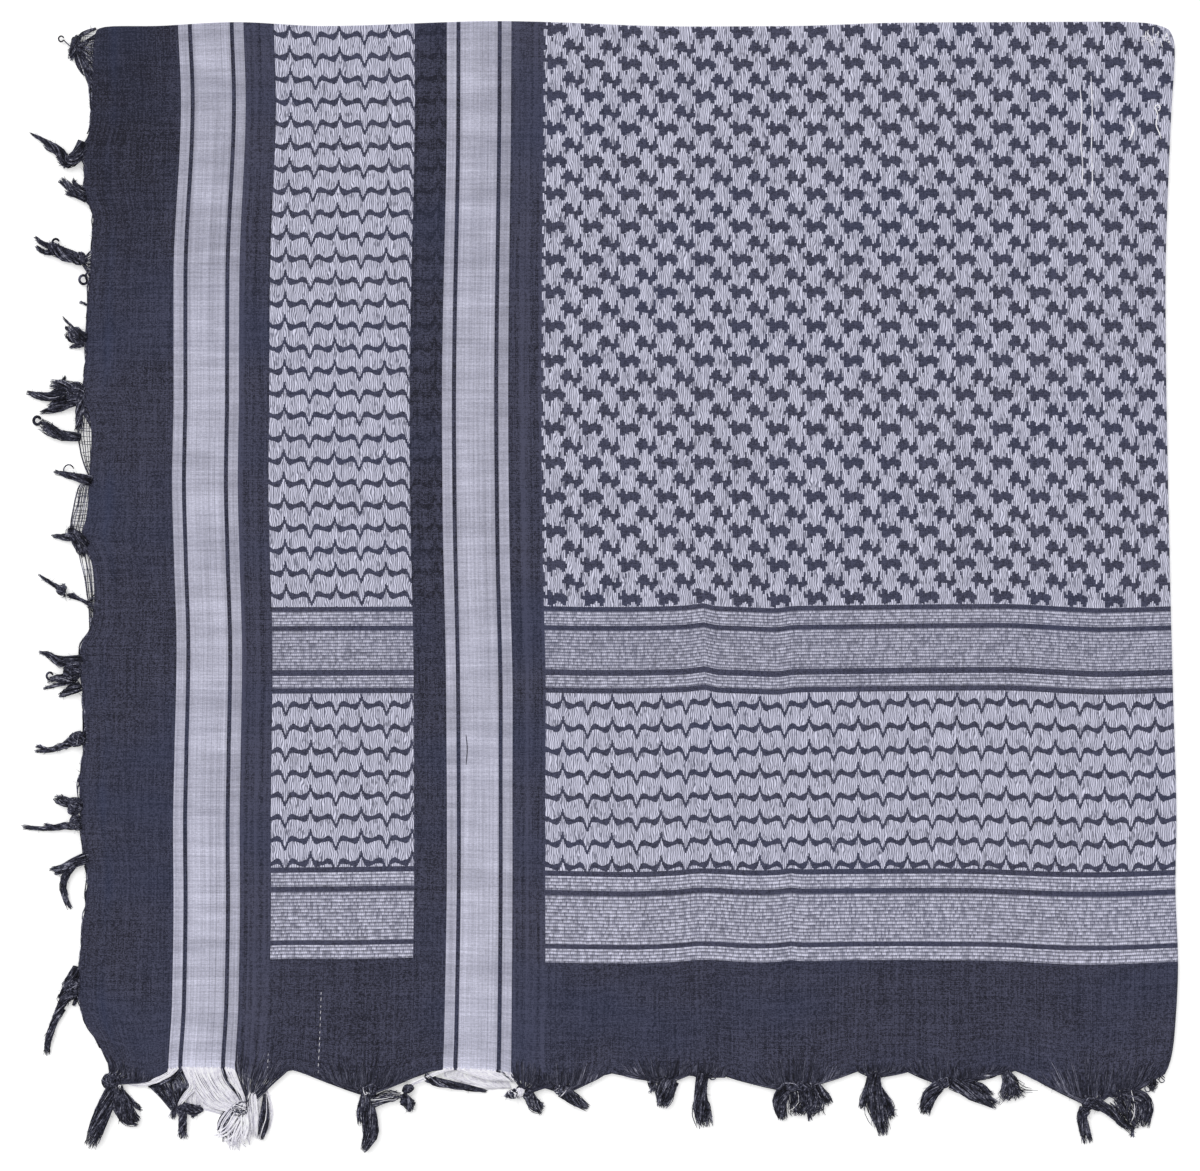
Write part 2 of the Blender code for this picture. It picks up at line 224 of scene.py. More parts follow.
def weave_place(across, up):
    """Where a point of the weave lies on the table, with its warp and weft a little off straight."""
    sides = [0.0, first_stripe_left, second_stripe_left, field_left, firm_field, weave_width]
    pulls = [
        -eased(left_edge, up), eased(first_stripe, up), eased(second_stripe, up), eased(field_edge, up),
        np.zeros_like(up), eased(right_edge, up),
    ]
    sideways = np.zeros_like(across)
    for place in range(5):
        share = (across - sides[place]) / (sides[place + 1] - sides[place])
        inside = (share >= 0) & (share < 1) if place < 4 else share >= 0
        if place == 0:
            inside = share < 1
        share = np.clip(share, 0, 1)
        sideways = np.where(inside, pulls[place] * (1 - share) + pulls[place + 1] * share, sideways)
    near_lower_border = soft_step(15, 52, up) * (1 - soft_step(105, 160, up))
    near_upper_border = soft_step(130, 185, up) * (1 - soft_step(232, 275, up))
    upwards = eased(lower_border_rise, across) * near_lower_border
    upwards = upwards + eased(upper_border_rise, across) * near_upper_border
    upwards = upwards - np.exp(-np.maximum(up, 0) / 18) * eased(bottom_edge, across)
    upwards = upwards + np.exp(-np.maximum(weave_length - up, 0) / 30) * eased(top_edge, across)
    from_right = weave_width - np.minimum(across, weave_width)
    from_top = weave_length - np.minimum(up, weave_length)
    from_folded_corner = np.hypot(from_right, from_top)
    from_open_corner = np.hypot(from_right, np.maximum(up, 0))
    from_loose_corner = np.hypot(np.maximum(across, 0), from_top)
    sideways = sideways - 2.5 * np.exp(-from_folded_corner / 6)
    upwards = upwards - 2.5 * np.exp(-from_folded_corner / 6)
    sideways = sideways - 2.2 * np.exp(-from_open_corner / 5)
    upwards = upwards + 1.6 * np.exp(-from_open_corner / 5)
    sideways = sideways + 2.5 * np.exp(-from_loose_corner / 5)
    upwards = upwards - 2.0 * np.exp(-from_loose_corner / 6)
    return weave_left + across + sideways, weave_bottom + up + upwards


def lie_of_cloth(across, up):
    """How far the folded cloth swells or sinks at a point, in millimetres."""
    swell = np.zeros_like(across)
    for start_x, start_y, end_x, end_y, width, height in creases:
        along_x, along_y = end_x - start_x, end_y - start_y
        length = math.hypot(along_x, along_y)
        along = ((across - start_x) * along_x + (up - start_y) * along_y) / length
        aside = ((across - start_x) * along_y - (up - start_y) * along_x) / length
        aside = aside + 2.5 * np.sin(along / 31 + start_x)
        ends = soft_step(-12, 25, along) * (1 - soft_step(length - 25, length + 12, along))
        wavering = 0.75 + 0.25 * np.sin(along / 23 + start_y)
        swell += height * ends * wavering * np.exp(-((aside / (width * 0.42)) ** 2))
    swell += 0.10 * np.sin(across / 17 + 1.3 * np.sin(up / 41)) * np.sin(up / 26 + 0.8)
    strength = 0.4 + 0.6 * np.sin(across / 75 + 2) ** 2
    swell += 0.08 * np.sin(up / 9.5 + 0.6 * np.sin(across / 60)) * strength
    return swell


def settled(across, up):
    """The share of its height that the cloth keeps, which is less at its open edges."""
    return (1 - 0.30 * np.exp(-across / 12)) * (1 - 0.30 * np.exp(-up / 12))


def cloth_sheet(name, base, across_stations, up_stations, across_roll, up_roll):
    """A closed thin sheet. base is its height.

    A roll, at a folded edge, is (where the fold starts, its radius, +1 down or -1 up).
    """
    across, up = np.meshgrid(across_stations, up_stations)
    flat_across, flat_up = across.copy(), up.copy()
    drop = np.zeros_like(across)
    if across_roll:
        start, radius, turn = across_roll
        turned = np.clip((across - start) / radius, 0, math.pi)
        flat_across = np.minimum(across, start) + radius * np.sin(turned)
        drop = drop + turn * radius * (1 - np.cos(turned))
    if up_roll:
        start, radius, turn = up_roll
        turned = np.clip((up - start) / radius, 0, math.pi)
        flat_up = np.minimum(up, start) + radius * np.sin(turned)
        drop = drop + turn * radius * (1 - np.cos(turned))
    place_x, place_y = weave_place(flat_across, flat_up)
    height = base * settled(
        flat_across, flat_up,
    ) + lie_of_cloth(flat_across, flat_up) * base / face_height
    limit = 2 * max(right_fold, top_fold)
    height = np.maximum(height - np.clip(drop, -limit, limit), cloth_thickness / 2 + 0.05)
    rows, columns = across.shape
    points = np.stack([place_x, place_y, height], axis=-1).reshape(-1, 3) * 0.001
    index = np.arange(rows * columns).reshape(rows, columns)
    faces = np.stack(
        [index[:-1, :-1], index[:-1, 1:], index[1:, 1:], index[1:, :-1]], axis=-1,
    ).reshape(-1, 4)
    mesh = bpy.data.meshes.new(name)
    mesh.from_pydata(points.tolist(), [], faces.tolist())
    layout = mesh.uv_layers.new(name="weave")
    corner_points = np.zeros(len(mesh.loops), int)
    mesh.loops.foreach_get("vertex_index", corner_points)
    weave_points = np.stack([across.ravel(), up.ravel()], axis=-1)[corner_points] * 0.001
    layout.data.foreach_set("uv", weave_points.ravel())
    sheet = bpy.data.objects.new(name, mesh)
    bpy.context.scene.collection.objects.link(sheet)
    return sheet


def face_top(across, up):
    """The height of the face's upper side, in millimetres."""
    return face_height * settled(across, up) + lie_of_cloth(across, up) + cloth_thickness / 2


def thicken(sheet):
    """Gives the sheet its thickness and smooths its shading."""
    bpy.ops.object.select_all(action="DESELECT")
    bpy.context.view_layer.objects.active = sheet
    sheet.select_set(True)
    wall = sheet.modifiers.new("thickness", "SOLIDIFY")
    wall.thickness = cloth_thickness * 0.001
    wall.offset = 0.0
    bpy.ops.object.modifier_apply(modifier=wall.name)
    bpy.ops.object.shade_smooth_by_angle(angle=math.radians(50))
    sheet.select_set(False)


def dye(red, green, blue):
    """A colour as the eye sees it, 0 to 255, made into the light the thread sends back."""
    levels = [level / 255 for level in (red, green, blue)]
    return (
        *[level / 12.92 if level < 0.04045 else ((level + 0.055) / 1.055) ** 2.4 for level in levels],
        1.0,
    )


class Reading:
    """A number that changes over the surface, from a node's output. Arithmetic on it adds Math nodes."""

    def __init__(self, tree, socket):
        self.tree = tree
        self.socket = socket

    def math(self, operation, *values):
        node = self.tree.nodes.new("ShaderNodeMath")
        node.operation = operation
        for place, value in enumerate(values):
            join(value, node.inputs[place])
        return Reading(self.tree, node.outputs[0])

    def __add__(self, other):
        return self.math("ADD", self, other)

    def __sub__(self, other):
        return self.math("SUBTRACT", self, other)

    def __rsub__(self, other):
        return self.math("SUBTRACT", other, self)

    def __mul__(self, other):
        return self.math("MULTIPLY", self, other)

    def __truediv__(self, other):
        return self.math("DIVIDE", self, other)

    def __pow__(self, other):
        return self.math("POWER", self, other)

    def __abs__(self):
        return self.math("ABSOLUTE", self)

    def __gt__(self, other):
        return self.math("GREATER_THAN", self, other)

    def __lt__(self, other):
        return self.math("LESS_THAN", self, other)

    def at_least(self, other):
        return self.math("MAXIMUM", self, other)

    def floor(self):
        return self.math("FLOOR", self)

    def fraction(self):
        return self.math("FRACT", self)

    def sine(self):
        return self.math("SINE", self)

    def cosine(self):
        return self.math("COSINE", self)

    def snapped(self, step):
        return self.math("SNAP", self, step)

    def to_and_fro(self, reach):
        return self.math("PINGPONG", self, reach)


def join(value, socket):
    """Gives a socket its value: a reading, or a plain number or colour."""
    if isinstance(value, Reading):
        value.tree.links.new(value.socket, socket)
    else:
        socket.default_value = value


def readings(tree, sockets):
    """Readings of a node's outputs, by name."""
    return {socket.name: Reading(tree, socket) for socket in sockets}


def parts_of(value, kind):
    """The three numbers in a place (kind XYZ) or a colour (kind Color)."""
    node = value.tree.nodes.new("ShaderNodeSeparate" + kind)
    join(value, node.inputs[0])
    return [Reading(value.tree, socket) for socket in node.outputs]


def own_map(tree, name):
    """The two numbers of the piece's own map."""
    node = tree.nodes.new("ShaderNodeUVMap")
    node.uv_map = name
    return parts_of(Reading(tree, node.outputs[0]), "XYZ")[:2]


def between(value, low, high):
    """1 where the value is between low and high, else 0."""
    return (value > low) * (value < high)


def spread(value, low, high, to_low, to_high):
    """The value's stretch from low to high, drawn out to run from to_low to to_high."""
    node = value.tree.nodes.new("ShaderNodeMapRange")
    node.clamp = True
    names = ("Value", "From Min", "From Max", "To Min", "To Max")
    for name, part in zip(names, (value, low, high, to_low, to_high)):
        join(part, node.inputs[name])
    return Reading(value.tree, node.outputs[0])


def place_of(first, second, third=0.0):
    """The place with these three numbers, of which the first is a reading."""
    node = first.tree.nodes.new("ShaderNodeCombineXYZ")
    for part, socket in zip((first, second, third), node.inputs):
        join(part, socket)
    return Reading(first.tree, node.outputs[0])


def cloudy(where, scale, detail=1.0):
    """Soft random patches, 0 to 1."""
    node = where.tree.nodes.new("ShaderNodeTexNoise")
    join(where, node.inputs["Vector"])
    node.inputs["Scale"].default_value = scale
    node.inputs["Detail"].default_value = detail
    return Reading(where.tree, node.outputs["Fac"])


def by_chance(where):
    """A random number, 0 to 1, that differs at each place."""
    node = where.tree.nodes.new("ShaderNodeTexWhiteNoise")
    node.noise_dimensions = "3D"
    join(where, node.inputs["Vector"])
    return Reading(where.tree, node.outputs["Value"])


def graded(value, stops, smooth):
    """A Color Ramp's Color and Alpha. A stop is (place 0 to 1, red, green, blue, alpha)."""
    node = value.tree.nodes.new("ShaderNodeValToRGB")
    ramp = node.color_ramp
    ramp.interpolation = "LINEAR" if smooth else "CONSTANT"
    while len(ramp.elements) < len(stops):
        ramp.elements.new(0.5)
    for element, stop in zip(ramp.elements, stops):
        element.position = stop[0]
    for element, stop in zip(ramp.elements, stops):
        element.color = stop[1:]
    join(value, node.inputs["Fac"])
    return readings(value.tree, node.outputs)


def blended(share, first, second):
    """The first colour where share is 0 and the second where it is 1."""
    node = share.tree.nodes.new("ShaderNodeMix")
    node.data_type = "RGBA"
    for part, place in ((share, 0), (first, 6), (second, 7)):
        join(part, node.inputs[place])
    return Reading(share.tree, node.outputs[2])


def bumped(height, strength, distance, shader):
    """Raises the shader's surface by the height."""
    node = height.tree.nodes.new("ShaderNodeBump")
    node.inputs["Strength"].default_value = strength
    node.inputs["Distance"].default_value = distance
    join(height, node.inputs["Height"])
    join(Reading(height.tree, node.outputs["Normal"]), shader.inputs["Normal"])


def new_group(name, inputs, outputs):
    """A node group, the readings that it is given, and the sockets for its results."""
    group = bpy.data.node_groups.new(name, "ShaderNodeTree")
    for socket in inputs:
        group.interface.new_socket(name=socket, in_out="INPUT", socket_type="NodeSocketFloat")
    for socket in outputs:
        group.interface.new_socket(name=socket, in_out="OUTPUT", socket_type="NodeSocketFloat")
    given = readings(group, group.nodes.new("NodeGroupInput").outputs)
    return group, given, group.nodes.new("NodeGroupOutput").inputs


def use_group(tree, group, **values):
    """The results of a node group for these values."""
    node = tree.nodes.new("ShaderNodeGroup")
    node.node_tree = group
    for name, value in values.items():
        join(value, node.inputs[name])
    return readings(tree, node.outputs)


# Plain weave: threads cross over and under one another, each a little thicker, thinner, lighter or
# darker than the next along its length.
thread_grain, given, result = new_group("thread_grain", ("Across", "Up", "Pitch"), ("Tone", "Height"))
warp_place = given["Across"] / given["Pitch"]
weft_place = given["Up"] / given["Pitch"]
warp_number = warp_place.floor()
weft_number = weft_place.floor()
warp_tone = cloudy(place_of(warp_number * 3.71, given["Up"] / 26.0), 1.0)
weft_tone = cloudy(place_of(given["Across"] / 26.0, weft_number * 3.37, 7.0), 1.0)
both = (warp_number + weft_number) * 0.5
on_top = both.fraction() > 0.25
warp_round = (warp_place.fraction() * math.pi).sine()
weft_round = (weft_place.fraction() * math.pi).sine()
difference = warp_tone - weft_tone
join(difference * on_top + weft_tone, result["Tone"])
rise = warp_round - weft_round
join(rise * on_top + weft_round, result["Height"])

# White floats: columns of loose white threads that run upwards over the navy ground. They lean and
# part a little, and between them the ground shows as dark lines.
white_floats, given, result = new_group("white_floats", ("Across", "Up"), ("White", "Height"))
lean = cloudy(place_of(given["Across"] / 3.2, given["Up"] / 6.5, 1.0), 1.0)
leaning = (lean - 0.5) * 2.6 + given["Across"]
float_place = leaning / float_pitch
float_number = float_place.floor()
wave_across = (float_place * (2 * math.pi)).cosine()
roundness = wave_across * -0.5 + 0.5
plump = roundness ** 0.75
float_tone = cloudy(place_of(float_number * 5.17, given["Up"] / 8.0), 1.0, 2.0)
gap_depth = by_chance(place_of((float_place + 0.5).floor(), 2.0))
gap_floor = gap_depth * 0.16
across_share = (1.0 - gap_floor) * plump + gap_floor
slit_tone = cloudy(place_of(float_number * 9.31, given["Up"] / 5.0, 3.0), 1.0)
slit = spread(slit_tone, 0.33, 0.4, 0.45, 1.0)
tone = spread(float_tone, 0.3, 0.7, 0.66, 1.26)
join(tone * across_share * slit, result["White"])
join(plump * slit, result["Height"])

# Wave rows: a dark wavy line with alternate up and down points, drawn by the ends of the floats.
wave_rows, given, result = new_group("wave_rows", ("Across", "Up", "Row"), ("Dark",))
wave_period = 24.7
wave_reach = 8.0
# (place along half a wave, the dark line's upper side, its lower side)
wave_line = [
    (0.0, -3.3, -5.6), (0.02, -2.4, -4.6), (0.05, -0.2, -3.0), (0.085, 1.5, -0.7), (0.15, 2.2, -0.2),
    (0.21, 1.5, -0.45), (0.27, 0.5, -0.9), (0.32, 0.5, -1.4), (0.38, 1.0, -2.0), (0.43, 1.6, -1.2),
    (0.462, 2.8, 0.4), (0.484, 5.2, 1.8), (0.5, 6.2, 3.2),
]
column_number = (given["Across"] / 0.95).floor()
half_column = given["Across"].snapped(float_pitch / 2)
phase = (half_column * (1 / wave_period) + (0.5 + float_pitch / 4 / wave_period)).fraction()
folded_phase = 1.0 - abs(phase * 2.0 - 1.0)
line = graded(
    folded_phase,
    [
        (2 * place, 0.5 + high / 2 / wave_reach, 0.5 + low / 2 / wave_reach, 0.0, 1.0)
        for place, high, low in wave_line
    ],
    True,
)
line_high, line_low, _ = parts_of(line["Color"], "Color")
line_high = line_high * (2 * wave_reach) - wave_reach
line_low = line_low * (2 * wave_reach) - wave_reach
wave_middle = 0.47
row_place = given["Up"] / given["Row"] + wave_middle
row_number = row_place.floor()
chance = by_chance(place_of(column_number, row_number))
above_line = (row_place.fraction() - wave_middle) * given["Row"]
above_line = above_line + (chance - 0.5) * 0.4
line_low = line_low - 0.3
line_high = line_high + 0.3
join(between(above_line, line_low, line_high), result["Dark"])

# Houndstooth: twenty columns of floats repeat across the field. Each column is dark between one
# or two pairs of places down the repeat.
houndstooth, given, result = new_group("houndstooth", ("Across", "Up"), ("Dark",))
check_width = 18.575
check_height = 16.35
check_chart = [
    (0.000, 0.430, 0.578, 0.780), (0.265, 0.395, 0.664, 0.780), (1.0, 0.0, 0.534, 0.978),
    (1.0, 0.0, 0.529, 1.0), (0.000, 0.132, 0.587, 1.0), (1.0, 0.0, 0.682, 0.946),
    (1.0, 0.0, 0.641, 0.942), (1.0, 0.0, 0.610, 0.861), (1.0, 0.0, 0.614, 0.861),
    (1.0, 0.0, 0.475, 0.915), (0.238, 0.350, 0.650, 1.0), (0.148, 0.332, 0.664, 0.982),
    (0.054, 0.556, 0.722, 0.865), (0.022, 0.475, 1.0, 0.0), (0.081, 0.386, 1.0, 0.0),
    (0.040, 0.386, 1.0, 0.0), (0.175, 0.386, 1.0, 0.0), (0.287, 0.538, 1.0, 0.0),
    (0.278, 0.583, 1.0, 0.0), (0.161, 0.466, 1.0, 0.0),
]
check_columns = len(check_chart)
column_place = given["Across"] * (check_columns / check_width)
column_number = column_place.floor()
column_share = (column_number * (1 / check_columns) + 0.5 / check_columns).fraction()
chart = graded(
    column_share, [(place / check_columns, *row) for place, row in enumerate(check_chart)], False,
)
first_start, first_end, second_start = parts_of(chart["Color"], "Color")
down = given["Up"] / -check_height
chance = by_chance(place_of(column_number, down.floor()))
down = down.fraction() + (chance - 0.5) * 0.05
first_mark = between(down, first_start, first_end)
second_mark = between(down, second_start, chart["Alpha"])
join(first_mark.at_least(second_mark), result["Dark"])

# The cloth's own material puts the stripes, the wave columns, the borders and the field together.
patterned_cotton = bpy.data.materials.new("patterned_cotton")
patterned_cotton.use_nodes = True
tree = patterned_cotton.node_tree
cotton = tree.nodes["Principled BSDF"]
across, up = [part * 1000.0 for part in own_map(tree, "weave")]

grain = use_group(tree, thread_grain, Across=across, Up=up, Pitch=ground_pitch)
floats = use_group(tree, white_floats, Across=across, Up=up)

upper_rows_start = (104.5, 517.5)
lower_rows_start = (116.15, 181.65)
upper_row_height = 11.23
lower_row_height = 11.45
checks_top = 515.75
longer_checks_up = 388.5
longer_by = 0.0423
in_first_column = between(across, *first_column)
in_field = across > field_left
in_columns = in_first_column.at_least(in_field)
upper_rows = use_group(
    tree, wave_rows, Across=across - upper_rows_start[0], Up=up - upper_rows_start[1],
    Row=upper_row_height,
)
lower_rows = use_group(
    tree, wave_rows, Across=across - lower_rows_start[0], Up=up - lower_rows_start[1],
    Row=lower_row_height,
)
looser_rows = (longer_checks_up - up).at_least(0.0) * longer_by
checks = use_group(tree, houndstooth, Across=across - field_left, Up=up - checks_top + looser_rows)
above_border = up > upper_border_up[1]
in_wave_band = between(up, lower_border_up[1], upper_border_up[0])
upper_dark = (checks["Dark"] - upper_rows["Dark"]) * in_field + upper_rows["Dark"]
upper_light = above_border * (1.0 - upper_dark)
wave_light = in_wave_band * (1.0 - lower_rows["Dark"])
float_light = (upper_light + wave_light) * in_columns
float_white = float_light * floats["White"]

# Borders: light bands between dark lines, each band several rows of small white stitches.
def level(value):
    """A grey of this value."""
    return (value, value, value, 1.0)


narrow_light, wide_light = 0.42, 0.38
lower_border = graded(
    spread(up, *lower_border_up, 0.0, 1.0),
    [
        (0.0, *level(narrow_light)), (0.146, *level(0)), (0.199, *level(wide_light)), (0.73, *level(0)),
        (0.786, *level(narrow_light)), (0.94, *level(0)),
    ],
    False,
)
upper_border = graded(
    spread(up, *upper_border_up, 0.0, 1.0),
    [
        (0.0, *level(0)), (0.06, *level(narrow_light)), (0.203, *level(0)), (0.272, *level(wide_light)),
        (0.725, *level(0)), (0.78, *level(narrow_light)), (0.942, *level(0)),
    ],
    False,
)
in_lower_border = between(up, *lower_border_up)
in_upper_border = between(up, *upper_border_up)
border_colour = blended(in_upper_border, lower_border["Color"], upper_border["Color"])
in_border = (in_lower_border + in_upper_border) * in_columns
stitch_row = spread(in_upper_border, 0.0, 1.0, 1.72, 1.57)
uneven = cloudy(place_of(across / 5.0, up / 2.5), 1.0)
row_turn = up / stitch_row + uneven * 0.45
rows_apart = spread((row_turn * (2 * math.pi)).sine(), -1.0, 1.0, 0.4, 1.6)
stitch_place = uneven * 0.9 + across / float_pitch
half_step = row_turn.to_and_fro(1.0) * 0.5 + stitch_place
stitches = spread((half_step * (2 * math.pi)).sine(), -1.0, 1.0, 0.7, 1.3)
specks = by_chance(place_of(stitch_place.floor(), row_turn.floor(), 5.0))
specks = spread(specks, 0.0, 1.0, 0.48, 1.52)
warp_shades = cloudy(place_of(across * 0.55, up * 0.01, 3.0), 1.0, 2.0)
border_light = border_colour * (rows_apart * stitches)
border_light = border_light * spread(warp_shades, 0.3, 0.7, 0.86, 1.14)
border_light = border_light * spread(in_upper_border, 0.0, 1.0, 1.0, 0.89)
border_light = border_light * specks * in_border

# Stripes: two white warp stripes, each a wide band between two narrow ones, in plain weave that
# lets some navy weft through. The wide bands have a few darker warp threads.
def stripe_light(start):
    """How white a stripe is, from its left side at start."""
    steps = [
        (0.0, 0.0), (0.029, 0.50), (0.169, 0.0), (0.230, 0.50), (0.262, 0.58), (0.410, 0.50),
        (0.420, 0.56), (0.545, 0.44), (0.556, 0.54), (0.630, 0.42), (0.641, 0.55), (0.745, 0.48),
        (0.773, 0.0), (0.831, 0.44), (0.971, 0.0),
    ]
    return graded(
        spread(across, start - 1.0, start + stripe_width + 1.0, 0.0, 1.0),
        [(place, light, light, light, 1) for place, light in steps], False,
    )["Color"]


stripes = stripe_light(first_stripe_left).at_least(stripe_light(second_stripe_left))
streaks = cloudy(place_of(across * 1.15, up * 0.006), 1.0, 2.0)
slubs = cloudy(place_of(across * 0.035, up * 0.9, 4.0), 1.0, 2.0)
# Wide soft bands across the stripes: partly thick slub yarn, partly painted shade of the cloth's faint
# undulations.
shade_bands_and_slubs = cloudy(place_of(across * 0.02, up * 0.09, 8.0), 1.0, 2.0)
mottle = cloudy(place_of(across * 0.75, up * 1.7, 2.0), 1.0, 2.0)
stripe_tone = spread(streaks, 0.3, 0.7, 0.82, 1.16) * spread(slubs, 0.3, 0.7, 0.84, 1.14)
stripe_tone = stripe_tone * spread(mottle, 0.3, 0.7, 0.84, 1.16)
stripe_tone = stripe_tone * spread(shade_bands_and_slubs, 0.35, 0.7, 0.86, 1.2)
stripe_tone = stripe_tone * spread(grain["Tone"], 0.3, 0.7, 0.88, 1.12)
stripe_tone = stripe_tone * spread(up, -1.0, 9.0, 1.6, 1.0)
stripe_tone = stripe_tone * spread(up, 60.0, 420.0, 1.12, 0.98)
stripe_white = stripes * stripe_tone

float_white = float_white * spread(up, 522.4, 523.0, 1.0, 0.0)
white_share = stripe_white.at_least(border_light).at_least(float_white)

# Between the first column and the second stripe the waves run on beneath, as a faint ghost.
in_ghost_band = between(across, first_column[1], second_stripe_left)
ghost = in_ghost_band * above_border * upper_rows["Dark"]

# Navy ground: blacker in some threads and bluer in others.
navy_dark = dye(32, 32, 42)
navy_light = dye(76, 77, 97)
navy_blue = dye(52, 60, 88)
white_thread_colour = dye(220, 220, 240)
cloud = cloudy(place_of(across * 0.012, up * 0.02, 9.0), 1.0, 2.0)
ground_tone = grain["Tone"] * 0.48 + streaks * 0.14 + mottle * 0.38
crossings = by_chance(place_of((across / 0.6).floor(), (up / 0.6).floor(), 1.0))
ground_tone = ground_tone + (crossings - 0.5) * 0.16
ground_tone = spread(ground_tone, 0.4, 0.62, 0.0, 1.0)
dark_bands = between(across, first_stripe_left + stripe_width, first_column[0])
dark_bands = dark_bands + between(across, second_stripe_left + stripe_width, field_left)
band_streaks = cloudy(place_of(across * 0.42, up * 0.002, 6.0), 1.0)
band_tone = dark_bands * spread(band_streaks, 0.4, 0.65, 0.0, 0.55)
ground_tone = ground_tone + band_tone - ghost * 0.35
in_pattern = in_columns * (up > lower_border_up[0])
ground_tone = ground_tone + in_pattern * 0.28
upper_margin = spread(across, 30.0, 60.0, 1.0, 0.0) * spread(up, 380.0, 470.0, 0.0, 0.3)
ground_tone = ground_tone - upper_margin
ground = blended(ground_tone, navy_dark, navy_light)
edge_blue = 1.0 - abs(across * 0.25 - 3.1)
edge_blue = edge_blue.at_least(0.0) * spread(cloud, 0.35, 0.6, 0.0, 0.2)
blueness = spread(cloud, 0.45, 0.75, 0.0, 0.35) + edge_blue
ground = blended(blueness, ground, navy_blue)
cloth_colour = blended(white_share, ground, white_thread_colour)
join(cloth_colour, cotton.inputs["Base Color"])
join(spread(white_share, 0.0, 1.0, 0.9, 0.78), cotton.inputs["Roughness"])
cotton.inputs["Specular IOR Level"].default_value = 0.12
cotton.inputs["Sheen Weight"].default_value = 0.04
cotton.inputs["Sheen Roughness"].default_value = 0.5
relief = float_light * floats["Height"] * 0.8 + grain["Height"] * 0.4
bumped(relief, 0.35, 0.0002, cotton)

right_start = weave_width - right_fold
top_start = weave_length - top_fold
right_turn = np.linspace(0, math.pi * right_fold, 9)[1:] + right_start
top_turn = np.linspace(0, math.pi * top_fold, 7)[1:] + top_start
face_columns = np.concatenate([np.linspace(0, right_start, 176), right_turn])
face_rows = np.concatenate([np.linspace(0, top_start, 168), top_turn])
cloth_face = cloth_sheet(
    "cloth_face", face_height, face_columns, face_rows, (right_start, right_fold, 1),
    (top_start, top_fold, 1),
)
thicken(cloth_face)
cloth_face.data.materials.append(patterned_cotton)
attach(cloth_face, "root")
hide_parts("top_layer")


# ---------------------------------------------------------------------------
# The three layers folded beneath the face. They are the rest of the same square of cotton: the
# fold at the top joins the face to the second layer and the fourth to the third, and the fold at
# the right carries the face round to the fourth, so that their open edges meet at left and bottom.

layer_heights = (2.5, 1.4, 0.3)
inner_fold = 0.55
inner_start = weave_width - 3.2
layer_columns = np.linspace(0, weave_width - right_fold, 70)
layer_rows = np.linspace(0, weave_length - top_fold, 66)
inner_right = np.linspace(0, math.pi * inner_fold, 6)[1:] + inner_start
inner_top = np.linspace(0, math.pi * inner_fold, 6)[1:] + weave_length - inner_fold
second = cloth_sheet(
    "cloth_beneath", layer_heights[0], np.concatenate([layer_columns[:-1], inner_right]), layer_rows,
    (inner_start, inner_fold, 1), None,
)
third = cloth_sheet(
    "third_layer", layer_heights[1], layer_columns[:-1], np.concatenate([layer_rows, inner_top]), None,
    (weave_length - inner_fold, inner_fold, 1),
)
fourth = cloth_sheet("fourth_layer", layer_heights[2], layer_columns, layer_rows, None, None)
for layer in (second, third, fourth):
    thicken(layer)
    layer.data.materials.append(patterned_cotton)
bpy.ops.object.select_all(action="DESELECT")
for layer in (second, third, fourth):
    layer.select_set(True)
bpy.context.view_layer.objects.active = second
bpy.ops.object.join()
cloth_beneath = second
cloth_beneath.select_set(False)
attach(cloth_beneath, "root")
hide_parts("hidden_layers")


# ---------------------------------------------------------------------------
# Knotted thread ends at the left edge. The real ones are the cotton's own weft threads, left long
# at the edge, gathered in bunches and knotted; below each knot they twist, curl and fray.

thread_chance = np.random.default_rng(7)
thread_radius = 0.19
fibre_radius = 0.075
thread_sides = 4
fibre_sides = 3
core_sides = 9
fullness = 2.1
thickest_lock = 2.1
thickest_knot = 2.3
off_table = 0.35
lowest_path = 0.3
map_margin = 0.03
map_width = 1 - 2 * map_margin

# A thread's finish is its place in thread_finishes, below.
# The third finish is painted shade, for the insides of locks and knots.
navy_yarn, white_yarn, painted_shade_yarn, drawn_yarn, worn_yarn = range(5)


def smooth_paths(controls, count):
    """Smooth lines through each row of points, with count points on each."""
    before = 2 * controls[:, :1] - controls[:, 1:2]
    after = 2 * controls[:, -1:] - controls[:, -2:-1]
    padded = np.concatenate([before, controls, after], axis=1)
    places = np.linspace(0, controls.shape[1] - 1, count)
    first = np.minimum(places.astype(int), controls.shape[1] - 2)
    share = (places - first)[None, :, None]
    one, two, three, four = (padded[:, first + step] for step in range(4))
    bend = (2 * one - 5 * two + 4 * three - four) * share ** 2
    bend = bend + (3 * two - one - 3 * three + four) * share ** 3
    return 0.5 * (2 * two + (three - one) * share + bend)


def unit(vectors):
    """The vectors, each made one long."""
    return vectors / np.maximum(np.linalg.norm(vectors, axis=-1, keepdims=True), 1e-9)


def navy_or_white(many, white):
    """Finishes for many threads, white in the share given and navy in the rest."""
    return np.where(thread_chance.uniform(0, 1, many) < white, white_yarn, navy_yarn)


def filling_finish(white):
    """The finish of what fills a lock or a knot: painted shade, or white among white threads."""
    return np.array([white_yarn if white > 0.5 else painted_shade_yarn])


def lie_of_weave(across, up):
    """Where points of the weave lie, in millimetres from its lower left corner."""
    place_x, place_y = weave_place(across, up)
    return place_x - weave_left, place_y - weave_bottom


